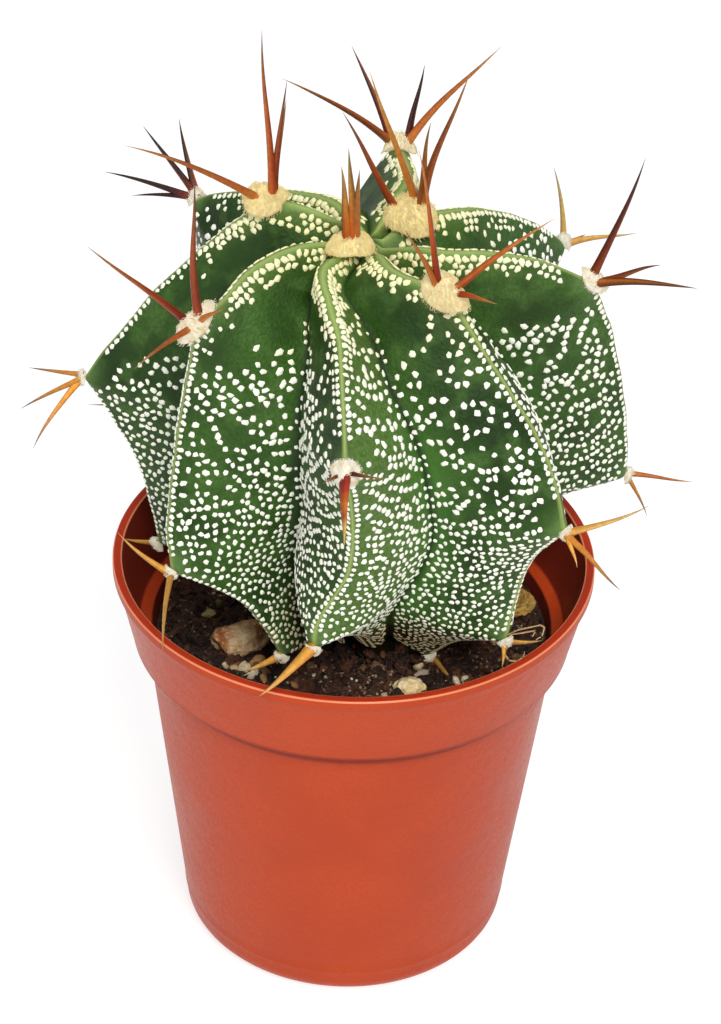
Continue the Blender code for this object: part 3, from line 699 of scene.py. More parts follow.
def drill_hole(pot, turn):
    """Cut one drainage hole through the pot's floor."""
    mesh = bmesh.new()
    radius = DRAIN_RADIUS * MM
    bmesh.ops.create_cone(mesh, cap_ends=True, segments=40, radius1=radius, radius2=radius, depth=6.0 * MM)
    middle = Vector((*polar(1.0, turn), 0.0)) * DRAIN_RING * MM
    bmesh.ops.translate(mesh, vec=middle, verts=mesh.verts)
    data = bpy.data.meshes.new("drill")
    mesh.to_mesh(data)
    mesh.free()
    drill = new_object("drill", data)
    cut = pot.modifiers.new("cut", "BOOLEAN")
    cut.operation = "DIFFERENCE"
    cut.solver = "EXACT"
    cut.object = drill
    done = bpy.data.meshes.new_from_object(pot.evaluated_get(bpy.context.evaluated_depsgraph_get()))
    pot.modifiers.clear()
    pot.data = done
    bpy.data.objects.remove(drill)


def build_pot():
    """The pot with its drainage holes, marked for the painted shade of its inside and the painted highlights
    on the rounded edges of its lip.
    """
    verts, faces = spin(pot_profile(), POT_SEGMENTS)
    pot = add_object("pot_shell", verts, faces, pot_material(), 28.0)
    for index in range(DRAIN_COUNT):
        drill_hole(pot, math.tau * (index + 0.5) / DRAIN_COUNT)
    zones = np.zeros((len(pot.data.vertices), 3), np.float32)
    for index, vertex in enumerate(pot.data.vertices):
        facing_out = vertex.normal.x * vertex.co.x + vertex.normal.y * vertex.co.y
        # Inner faces above the floor: they get the painted shade of the pot's inside.
        if facing_out < -0.5 * vertex.co.xy.length and vertex.co.z > FLOOR * MM:
            zones[index, 0] = 1.0
        # The lip's rounded edges: they get a painted highlight.
        if vertex.co.z > (POT_HEIGHT - LIP_ROUNDING) * MM and 0.3 < vertex.normal.z < 0.95:
            zones[index, 1] = 1.0
    paint(pot, "zones", zones)
    settle(pot, "pot_plastic", "pot")


# Soil and stones


def soil_height(x, y):
    """Height of the soil's bumpy top, with the large bumps of the part and finer ones."""
    wave = noise.noise(Vector((x, y, 3.0)) / SOIL_BUMP_WIDTH)
    lump = math.exp(-((x - PEAT_LUMP[0]) ** 2 + (y - PEAT_LUMP[1]) ** 2) / PEAT_LUMP_WIDTH ** 2)
    fine = sum(height * noise.noise(Vector((x, y, level)) / width) for height, width, level in FINE_BUMPS)
    return SOIL_LEVEL + SOIL_BUMP * wave + PEAT_LUMP_HEIGHT * lump + fine * (1.0 + 0.8 * lump)


def soil_material(name, tinted=False):
    """Moist dark peat: brown-black crumbs with reddish fibres and pale mineral specks."""
    s = Shader(name)
    place = s.place()
    crumb = s.noise(place, 1.1, 4.0, 0.65, 0.35, 0.7)
    patch = s.noise(place, 4.0, 2.0)
    fine = s.noise(place, 0.35, 3.0, 0.6)
    colour = s.blend(srgb(22, 12, 8), srgb(84, 50, 34), crumb)
    if tinted:
        colour = s.blend(colour, s.layer("tint")[0], 0.75)
    colour = s.coats(
        colour,
        ((128, 82, 54), s.times(s.spread(fine, 0.45, 1.0), s.times(patch, 0.7))),
        ((190, 172, 148), s.times(s.cells(place, 0.8, 0.1, 0.17, 1.0, 0.0), s.spread(patch, 0.4, 0.9))),
    )
    s.set(Base_Color=colour, Roughness=s.spread(fine, 0.0, 1.0, 0.36, 0.85), Specular_IOR_Level=0.5)
    s.bump(s.plus(crumb, s.times(fine, 0.6)), 0.3)
    return s.material


def build_soil(peat):
    """The soil body: a finely broken top over the plain sides and bottom."""
    clear = WALL + GAP
    wall_top = body_radius(SOIL_LEVEL) - clear
    lower = [
        (0.0, FLOOR + GAP),
        (BODY_FOOT_RADIUS - FOOT_ROUNDING - GAP, FLOOR + GAP),
        (body_radius(FOOT_ROUNDING) - clear - FLOOR_DRAFT, FOOT_ROUNDING + GAP),
    ]
    lower += run((body_radius(10.0) - clear, 10.0), (wall_top, SOIL_LEVEL), 6)
    rings = 62
    top = [(wall_top * (1.0 - i / rings), SOIL_LEVEL) for i in range(rings)]
    verts, faces = spin(lower + top + [(0.0, SOIL_LEVEL)], 180)
    shaped = []
    for x, y, z in verts:
        radius = math.hypot(x, y)
        if z > SOIL_LEVEL - 0.5:
            part = ease((wall_top - radius) / 1.2)
            z = mix(SOIL_LEVEL, soil_height(x, y), part)
        shaped.append((x, y, z))
    settle(add_object("soil_body", shaped, faces, peat), "peat", "soil")


def ball(subdivisions):
    """Vertices and faces of a unit ball."""
    mesh = bmesh.new()
    bmesh.ops.create_icosphere(mesh, subdivisions=subdivisions, radius=1.0)
    mesh.verts.ensure_lookup_table()
    verts = [tuple(v.co) for v in mesh.verts]
    faces = [tuple(v.index for v in f.verts) for f in mesh.faces]
    mesh.free()
    return verts, faces


BALLS = {count: ball(count) for count in (1, 2, 3, 5)}


def random_turn(chance):
    """Random rotation matrix."""
    axis = Vector((chance.uniform(-1, 1), chance.uniform(-1, 1), chance.uniform(-1, 1)))
    return Matrix.Rotation(chance.uniform(0.0, math.tau), 3, axis.normalized())


def soil_spot(chance, largest):
    """Random place on the soil, clear of the wall and of the stem's foot."""
    while True:
        radius = math.sqrt(chance.uniform(0.0, 1.0)) * (SOIL_REACH - largest)
        x, y = polar(radius, chance.uniform(0.0, math.tau))
        if math.hypot(x - STEM_FOOT[0], y - STEM_FOOT[1]) > STUB_TOP_RADIUS - 1.0 + largest:
            return x, y


CRUMB_SEED = 31
CRUMB_COUNT = 2400
CRUMB_SIZES = (0.18, 0.6)
CHUNK_SIZES = (0.6, 1.35)
CHUNK_SHARE = 0.22
CRUMB_COLOURS = (
    (18, 10, 7), (34, 20, 13), (60, 34, 22), (96, 56, 34), (132, 82, 50), (58, 50, 32), (150, 112, 78)
)
CRUMB_SHARES = (5, 5, 4, 3, 2, 1, 0.5)
CRUMB_SPREAD = (3.0, 2.2)
CRUMB_REACH = 26.0
HEAP_HEIGHT = 3.9
HEAP_WIDTH = (-0.4, 2.2)


def build_crumbs():
    """Loose crumbs and chunks of peat, all over the soil, on its lump and heaped at the stem's foot."""
    chance = random.Random(CRUMB_SEED)
    crumbs = Piece()
    for index in range(CRUMB_COUNT):
        size = chance.uniform(*CRUMB_SIZES)
        if chance.random() < CHUNK_SHARE:
            size = chance.uniform(*CHUNK_SIZES)
        x, y = soil_spot(chance, size)
        if index % 4 == 0:
            size = min(size, CRUMB_SIZES[1])
            x, y = (middle + chance.gauss(0.0, wide) for middle, wide in zip(PEAT_LUMP, CRUMB_SPREAD))
            if math.hypot(x, y) > CRUMB_REACH - size:
                continue
        height = soil_height(x, y) + size * 0.2
        if index % 4 == 1:
            turn = chance.uniform(0.0, math.tau)
            out = chance.uniform(*HEAP_WIDTH)
            dx, dy = polar(STUB_TOP_RADIUS + out, turn)
            x, y = STEM_FOOT[0] + dx, STEM_FOOT[1] + dy
            height = SOIL_LEVEL + chance.uniform(0.1, HEAP_HEIGHT) * (1.0 - 0.45 * max(out, 0.0))
        half = (size, size * chance.uniform(0.6, 1.0), size * chance.uniform(0.45, 0.85))
        detail = 3 if size > 0.9 else 2 if size > 0.4 else 1
        tint = srgb(*chance.choices(CRUMB_COLOURS, CRUMB_SHARES)[0])
        crumbs.lump((x, y, height), half, random_turn(chance), detail, index, 0.9, tint)
    crumbs.finish("peat_crumbs", soil_material("peat_crumb", True), "peat", smooth_angle=40.0)


def grit_material():
    """Pale mineral grit and bits of bark, each with its own colour."""
    s = Shader("grit_fine")
    mottled = s.noise(s.place(), 0.35, 3.0)
    colour = s.coats(s.layer("tint")[0], ((110, 84, 60), s.times(mottled, 0.35)))
    s.set(Base_Color=colour, Roughness=0.6)
    s.bump(mottled, 0.05)
    return s.material


GRIT_SEED = 47
GRIT_COUNT = 420
GRIT_SIZES = (0.08, 0.3)
GRIT_COLOURS = (
    (228, 214, 190), (206, 178, 140), (176, 140, 98), (150, 112, 76), (240, 232, 216), (120, 84, 52),
)
# Bits that can be told apart: place, half size and colour
GRIT_BITS = (
    (-14.2, -10.6, 1.0, (226, 208, 170)),
    (-12.8, -11.5, 0.8, (240, 230, 206)),
    (-15.6, -10.9, 0.8, (206, 172, 126)),
    (-13.4, -12.3, 0.7, (236, 220, 188)),
    (-15.0, -12.1, 0.6, (214, 186, 146)),
    (-11.6, -12.2, 0.7, (196, 150, 100)),
    (-12.5, -8.9, 1.1, (208, 158, 104)),
    (-16.8, -9.6, 0.6, (222, 204, 168)),
    (-20.6, -3.9, 0.6, (206, 164, 84)),
    (-19.8, 2.4, 1.0, (182, 172, 104)),
    (-18.4, 4.3, 0.8, (150, 138, 74)),
    (9.2, -8.4, 0.85, (232, 208, 158)),
    (14.3, -11.2, 0.8, (236, 220, 188)),
    (15.4, -10.6, 0.6, (240, 228, 204)),
    (4.6, -14.6, 0.5, (200, 170, 130)),
    (9.6, -10.4, 1.0, (200, 178, 160)),
    (19.4, -3.1, 0.6, (186, 150, 104)),
    (-7.4, -13.8, 0.6, (176, 128, 84)),
)


def build_grit():
    """Pale grit over the soil: the bits that show, and scattered fine ones."""
    chance = random.Random(GRIT_SEED)
    bits = list(GRIT_BITS)
    for _ in range(GRIT_COUNT):
        size = chance.uniform(*GRIT_SIZES)
        bits.append((*soil_spot(chance, size), size, chance.choice(GRIT_COLOURS)))
    grit = Piece()
    for index, (x, y, size, colour) in enumerate(bits):
        large = size > 0.4
        half = (size, size * chance.uniform(0.55, 0.9), size * chance.uniform(0.4, 0.8))
        place = (x, y, soil_height(x, y) + size * (0.7 if large else 0.35))
        grit.lump(place, half, random_turn(chance), 2 if large else 1, index, 0.5, srgb(*colour))
    grit.finish("grit", grit_material(), "pebble_pale", smooth_angle=35.0)


FIBRE_SEED = 59
FIBRE_COUNT = 230
FIBRE_SPREAD = (3.0, 2.0)
FIBRE_LENGTHS = (0.8, 2.6)
FIBRE_WIDTHS = (0.04, 0.12)
FIBRE_CLEARANCE = 1.5
FIBRE_REACH = 25.0
FIBRE_COLOURS = ((150, 104, 66), (98, 60, 36), (182, 142, 96), (64, 38, 26))


def build_fibres():
    """Short straw-like fibres in the peat, one in three of them on its woolly lump."""
    chance = random.Random(FIBRE_SEED)
    fibres = Piece()
    for index in range(FIBRE_COUNT):
        x, y = soil_spot(chance, FIBRE_CLEARANCE)
        if index % 3 == 0:
            x, y = (middle + chance.gauss(0.0, wide) for middle, wide in zip(PEAT_LUMP, FIBRE_SPREAD))
        if math.hypot(x, y) > FIBRE_REACH:
            continue
        turn = chance.uniform(0.0, math.tau)
        length = chance.uniform(*FIBRE_LENGTHS)
        width = chance.uniform(*FIBRE_WIDTHS)
        bend = chance.uniform(-0.4, 0.4)
        tint = srgb(*chance.choice(FIBRE_COLOURS))
        fibres.thread(fibre_path(x, y, turn, length, bend, chance), width, tint)
    fibres.finish("peat_fibres", grit_material(), "peat")


def fibre_path(x, y, turn, length, bend, chance):
    """Points of one fibre lying on the soil."""
    points = []
    rise = chance.uniform(-0.05, 0.35)
    for i in range(5):
        part = i / 4.0 - 0.5
        dx, dy = (c * length * part for c in polar(1.0, turn + bend * part))
        height = soil_height(x + dx, y + dy) + 0.12 + rise * (part + 0.5)
        points.append(Vector((x + dx, y + dy, height)))
    return points


def stone_material(name, light, dark, vein, width, roughness, bands):
    """Rock: two mixed tones, thin veins, and layers where the stone has them."""
    s = Shader(name)
    place = s.place()
    cloud = s.noise(place, width, 4.0, 0.6)
    fine = s.noise(place, width * 0.22, 3.0, 0.6)
    veins = s.times(s.spread(fine, 0.62, 0.8), 0.8)
    colour = s.coats(s.blend(srgb(*dark), srgb(*light), cloud), (vein, veins))
    height = s.plus(cloud, s.times(fine, 0.6))
    if bands is not None:
        layered = s.noise(s.stretch(place, bands), 0.9, 3.0, 0.6)
        colour = s.coats(colour, (vein, s.times(layered, 0.65)))
        height = s.plus(height, layered)
    s.set(Base_Color=colour, Roughness=roughness)
    s.bump(height, 0.18)
    return s.material


def build_rock(node, material, centre, size, heading, facets, seed):
    """One stone: a ball cut by a few planes, then dented at two scales."""
    chance = random.Random(seed)
    unit, faces = BALLS[5]
    planes = []
    for _ in range(facets):
        normal = Vector((chance.uniform(-1, 1), chance.uniform(-1, 1), chance.uniform(-0.8, 1))).normalized()
        planes.append((normal, chance.uniform(0.62, 0.88)))
    spot = Matrix.Rotation(math.radians(heading), 3, "Z")
    verts = []
    for co in unit:
        point = Vector(co)
        for normal, level in planes:
            over = max(point.dot(normal) - level, 0.0)
            point -= normal * over * 0.92
        dent = 1.0 + 0.16 * noise.noise(point * 1.7 + Vector((seed, 0, 0)))
        dent += 0.05 * noise.noise(point * 6.0 + Vector((0, seed, 0)))
        point = Vector([h * c * dent / 2.0 for h, c in zip(size, point)])
        verts.append(tuple(Vector(centre) + spot @ point))
    settle(add_object("rock_" + node.split("_")[1], verts, faces, material, 50.0), node, node)


# Of each stone the two tones, the veins, the width of its clouds, its roughness and its layers
STONE_LOOKS = {
    "stone_tan": ((250, 226, 176), (186, 112, 56), (240, 206, 160), 3.4, 0.45, None),
    "stone_ochre": ((222, 168, 64), (136, 96, 34), (214, 180, 100), 2.0, 0.6, (0.4, 0.4, 3.0)),
    "pebble_pale": ((250, 226, 168), (226, 190, 128), (250, 236, 204), 3.4, 0.4, None),
}
# Centre, size, heading, number of facets and seed
STONE_SHAPES = {
    "stone_tan": ((-15.0, -4.6, 48.4), (8.1, 6.1, 5.2), 20.0, 3, 12),
    "stone_ochre": ((22.4, 5.6, 48.4), (6.0, 5.2, 4.8), 35.0, 9, 5),
    "pebble_pale": ((8.0, -13.2, 47.5), (4.2, 3.0, 2.4), 5.0, 1, 8),
}


def build_stones():
    """The stones that can be told apart."""
    for node, look in STONE_LOOKS.items():
        build_rock(node, stone_material(node + "_fine", *look), *STONE_SHAPES[node])


# The stem's skin


class StemGrid:
    """The fine grid of the stem's skin in the stem's frame, in millimetres.

    Columns run clockwise: for each rib its clockwise flank from the edge to the furrow, then the next rib's
    other flank from the furrow to its edge. Rows run from the crown to the foot.
    """

    def __init__(self):
        self.angles = np.linspace(FIRST_ROW_ANGLE, LAST_ANGLE, FINE_ROWS)
        self.half = len(FLANK_STEPS)
        self.per_rib = 2 * self.half
        rows = []
        for angle in self.angles:
            row = []
            for rib in range(RIB_COUNT):
                row += flank_line(rib, 1, float(angle))
                row += list(reversed(flank_line((rib + 1) % RIB_COUNT, -1, float(angle))[1:-1]))
            rows.append([tuple(point) for point in row])
        self.base = np.array(rows)
        self.normal = self.normals(self.base)
        self.points = self.base + self.normal * self.relief()[..., None]
        self.normal = self.normals(self.points)

    @staticmethod
    def normals(points):
        """Outward unit normals of a grid that closes on itself sideways."""
        across = np.roll(points, -1, 1) - np.roll(points, 1, 1)
        down = np.gradient(points, axis=0)
        cross = np.cross(across, down)
        return cross / np.maximum(np.linalg.norm(cross, axis=2, keepdims=True), 1e-9)

    def relief(self):
        """Soft rolls across the flanks and a fine unevenness of the skin, in millimetres."""
        rows = []
        for angle, row in zip(self.angles, self.base):
            calm = ease((angle - 8.0) / 20.0)
            rows.append([])
            for x, y, z in row:
                roll = noise.noise(Vector((x, y, z * 1.6)) / ROLL_WIDTH)
                pore = noise.noise(Vector((x, y, z)) / PORE_WIDTH)
                rows[-1].append(calm * (ROLL_HEIGHT * roll + PORE_HEIGHT * pore))
        return np.array(rows)

    def column(self, rib, side, step_index):
        """Grid column of a flank's step."""
        return (rib * self.per_rib + side * step_index) % (RIB_COUNT * self.per_rib)

    def flank(self, rib, side):
        """Points, normals and distances from the edge of one flank, edge first."""
        columns = [self.column(rib, side, k) for k in range(self.half + 1)]
        points = self.points[:, columns]
        reach = np.zeros(points.shape[:2])
        reach[:, 1:] = np.cumsum(np.linalg.norm(np.diff(points, axis=1), axis=2), axis=1)
        return points, self.normal[:, columns], reach


def between(grid, row, column):
    """Bilinear reading of a grid of values at fractional rows and columns."""
    i = np.clip(np.floor(row).astype(int), 0, grid.shape[0] - 2)
    j = np.clip(np.floor(column).astype(int), 0, grid.shape[1] - 2)
    u, v = row - i, column - j
    if grid.ndim == 3:
        u, v = u[..., None], v[..., None]
    top = grid[i, j] * (1 - v) + grid[i, j + 1] * v
    low = grid[i + 1, j] * (1 - v) + grid[i + 1, j + 1] * v
    return top * (1 - u) + low * u


def skin_material():
    """Living skin: dark green with lighter clouds, a pale line on each rib edge, corky brown at the foot,
    painted light and shade on whole flanks and painted shade in the creases.
    """
    s = Shader("cactus_skin_fine")
    place = s.place()
    _, edge, frost, low = s.layer("zones")
    _, hollow, crease_shade, young = s.layer("hollows")
    _, light, shade, _ = s.layer("flanks")
    cloud = s.noise(place, 10.0, 3.0)
    patch = s.noise(place, 3.6, 3.0, 0.55)
    fine = s.noise(place, 0.45, 2.0, 0.6)
    colour = s.coats(
        s.blend(srgb(25, 49, 12), srgb(60, 97, 33), cloud),
        # Painted shade and painted light on whole flanks.
        ((24, 46, 14), s.times(shade, 0.8)),
        ((100, 132, 62), s.times(light, 0.8)),
        ((86, 122, 58), s.times(s.spread(patch, 0.4, 1.0), 0.4)),
        ((28, 52, 16), s.times(fine, 0.5)),
        ((70, 120, 44), s.times(hollow, 0.8)),
        ((112, 144, 84), s.times(frost, 0.55)),
        ((118, 146, 70), s.times(young, 0.5)),
        ((150, 170, 98), s.times(edge, 0.95)),
        # Painted shade in the crease at the bottom of each furrow.
        ((12, 32, 10), s.times(crease_shade, 0.85)),
        ((30, 22, 12), s.times(low, 0.95)),
    )
    s.set(Base_Color=colour, Roughness=s.spread(patch, 0.0, 1.0, 0.42, 0.58), Specular_IOR_Level=0.18)
    s.bump(s.plus(fine, s.times(patch, 0.6)), 0.05)
    return s.material


def build_skin(grid):
    """The stem's skin, closed at the crown and down to the buried foot."""
    rows, columns = grid.points.shape[:2]
    points = list(grid.points.reshape(-1, 3))
    for radius, height in ((STUB_TOP_RADIUS, STUB_TOP_HEIGHT), (STUB_BOTTOM_RADIUS, STUB_BOTTOM_HEIGHT)):
        for x, y, _ in grid.points[-1]:
            flat = Vector((x, y, 0.0)).normalized() * radius
            points.append((flat.x, flat.y, height - STEM_FOOT[2]))
    crown = len(points)
    points.append(place_on_stem(smooth_edge(1.0, 0.0), 0.0))
    faces = []
    for j in range(columns):
        k = (j + 1) % columns
        faces.append((crown, j, k))
        for row in range(0, (rows + 1) * columns, columns):
            faces.append((row + j, row + columns + j, row + columns + k, row + k))
    faces.append(tuple(range((rows + 1) * columns, (rows + 2) * columns)))
    skin = add_object("stem_skin", [STEM @ Vector(p) for p in points], faces, skin_material())
    for name, layer in skin_zones(grid, len(points)).items():
        paint(skin, name, layer)
    settle(skin, "cactus_skin", "cactus_stem")


# Polar angles where a zone of the skin begins or ends, and how many degrees it takes
CORKY_FOOT = (134.0, 17.0)
LOWER_FLANKS = (45.0, 40.0)
CROWN_SKIN = (16.0, 30.0)
# How many degrees up and down the rib the frosting by an areole reaches
FROST_LENGTH = 5.0
# How far from the edge or the furrow the zones reach, in millimetres
EDGE_LINE_WIDTH = 0.26
EDGE_LINE_GAIN = 0.3
FROST_WIDTH = 1.7
YOUNG_SKIN_WIDTH = 2.2
HOLLOW_WIDTH = 3.2
CREASE_SHADE_WIDTH = 0.28
# Beside a furrow: strength of the lighter hollow, and breadth of the painted shade in the crease low down
HOLLOW_TONE = (0.5, 0.3)
HOLLOW_TONES = {0: (0.0, 1.1), 7: (1.0, 0.34)}
# How much painted light or painted shade a whole flank gets, by how it faces the lamps
FLANK_PAINTED_LIGHT = {(0, -1): 0.85, (6, 1): 0.1}
FLANK_PAINTED_SHADE = {(2, -1): 0.55, (7, 1): 0.25, (3, -1): 0.4, (2, 1): 0.2}


def eased(angles, start, width):
    """Smooth step from 0 to 1 down the stem, from a polar angle on."""
    part = np.clip((angles - start) / width, 0.0, 1.0)
    return part * part * (3.0 - 2.0 * part)


def fading(distance, width):
    """Soft band round distance 0."""
    return np.exp(-((distance / width) ** 2))


def skin_zones(grid, count):
    """Three colour layers by rule, each value from 0 to 1.

    The zones hold the line on the rib edge, the frosting by the areoles and the corky foot. The hollows hold
    the lighter hollow beside each furrow, the painted shade of the crease in it and the yellower skin of the
    crown's edges. The flanks hold the painted light and the painted shade of whole flanks.
    """
    rows, columns = grid.points.shape[:2]
    layers = {name: np.zeros((rows, columns, 3), np.float32) for name in ("zones", "hollows", "flanks")}
    foot = eased(grid.angles, *CORKY_FOOT)
    lower = eased(grid.angles, *LOWER_FLANKS)
    crown = 1.0 - eased(grid.angles, *CROWN_SKIN)
    for rib in range(RIB_COUNT):
        own = [areole_angle(age) for age in AREOLE_AGES if areole_rib(age) == rib]
        near = np.max([fading(grid.angles - angle, FROST_LENGTH) for angle in own], axis=0)
        for side in (1, -1):
            reach = grid.flank(rib, side)[2]
            light, dark = HOLLOW_TONES.get(gap_beside(rib, side), HOLLOW_TONE)
            for step in range(grid.half + 1):
                out = reach[:, step]
                to_furrow = reach[:, -1] - out
                inside = ease(step / 3.0) * (1.0 - ease((step - grid.half + 3.0) / 3.0))
                column = grid.column(rib, side, step)
                zones, hollows, flanks = (layer[:, column].T for layer in layers.values())
                zones[0] = np.maximum(zones[0], fading(out, EDGE_LINE_WIDTH + EDGE_LINE_GAIN * crown))
                zones[1] = np.maximum(zones[1], near * fading(out, FROST_WIDTH))
                zones[2] = foot
                hollows[0] = light * lower * fading(to_furrow, HOLLOW_WIDTH)
                # Painted shade in the crease at the furrow's bottom, broader low down.
                hollows[1] = fading(to_furrow, mix(CREASE_SHADE_WIDTH, dark, lower))
                hollows[2] = np.maximum(hollows[2], crown * fading(out, YOUNG_SKIN_WIDTH))
                # Painted light and painted shade over the middle of whole flanks.
                flanks[0] = np.maximum(flanks[0], FLANK_PAINTED_LIGHT.get((rib, side), 0.0) * inside)
                flanks[1] = np.maximum(flanks[1], FLANK_PAINTED_SHADE.get((rib, side), 0.0) * inside)
    ends = np.zeros((count - rows * columns, 3), np.float32)
    layers = {name: np.concatenate((layer.reshape(-1, 3), ends)) for name, layer in layers.items()}
    layers["zones"][rows * columns:-1, 2] = 1.0
    return layers


# Wool flecks


FLECK_SEED = 5
# Emission of the flecks: painted light that keeps them bright in shade.
FLECK_PAINTED_GLOW = 0.08
FLECK_SIDES = 6
SCATTER_CELL = 2.2
EDGE_ROW_OFFSET = 0.66
EDGE_ROW_SPACING = 0.98
# Distance from that row and share of further flecks beside it, near the crown
BESIDE_EDGE_ROW = ((0.95, 0.8), (1.85, 0.45), (2.7, 0.2))
CREASE_OFFSET = 0.55
CREASE_SPACING = 1.35
CREASE_FLECK_SIZE = 0.34
EDGE_CLEARANCE = 1.4
FURROW_CLEARANCE = 0.9
LAST_YOUNG_AGE = 11
BARE_ABOVE_YOUNG = 4.2
BARE_ABOVE_OLD = 1.8
CHAIN_PITCH = 2.2
CLUMP_WIDTH = 2.0
CLUMPS_UNTIL = 74.0
EVEN_TRIES = 4600
LOW_TRIES = 6400
LOW_TRIES_FROM = 92.0
# Fleck size, free space round a new chain and length of the chains, at polar angles down the flank
FLECK_ANGLES = (0.0, 56.0, 84.0, 112.0, 138.0, 164.0)
FLECK_SIZES = (0.51, 0.49, 0.43, 0.36, 0.3, 0.28)
FLECK_ROOMS = (1.2, 1.1, 1.02, 0.87, 0.7, 0.82)
CHAIN_LENGTHS = (7.5, 6.5, 3.4, 1.4, 1.0, 1.0)
# Polar angles where the flecks start on a flank: beside the rib edge, in the middle and beside the furrow
FLECK_START = (46.0, 48.0, 38.0)
FLECK_STARTS = {
    (0, -1): (30.0, 34.0, 17.0),
    (0, 1): (16.0, 50.0, 24.0),
    (1, -1): (56.0, 41.0, 31.0),
    (7, 1): (24.0, 35.0, 36.0),
    (6, 1): (60.0, 50.0, 38.0),
    (5, 1): (8.0, 36.0, 50.0),
    (2, -1): (86.0, 68.0, 54.0),
}


class Scatter:
    """Keeps flecks apart with a coarse grid of cells."""

    def __init__(self):
        self.cells = {}

    def key(self, point):
        """Cell of a point."""
        return tuple(math.floor(c / SCATTER_CELL) for c in point)

    def free(self, point, distance):
        """True where no fleck is nearer than the distance."""
        limit = distance * distance
        for cell in itertools.product(*((c - 1, c, c + 1) for c in self.key(point))):
            for other in self.cells.get(cell, ()):
                if sum((a - b) ** 2 for a, b in zip(point, other)) < limit:
                    return False
        return True

    def add(self, point):
        """Remember a fleck."""
        self.cells.setdefault(self.key(point), []).append(point)


def down_flank(values, angle):
    """One of the flecks' values at a polar angle."""
    return float(np.interp(angle, FLECK_ANGLES, values))


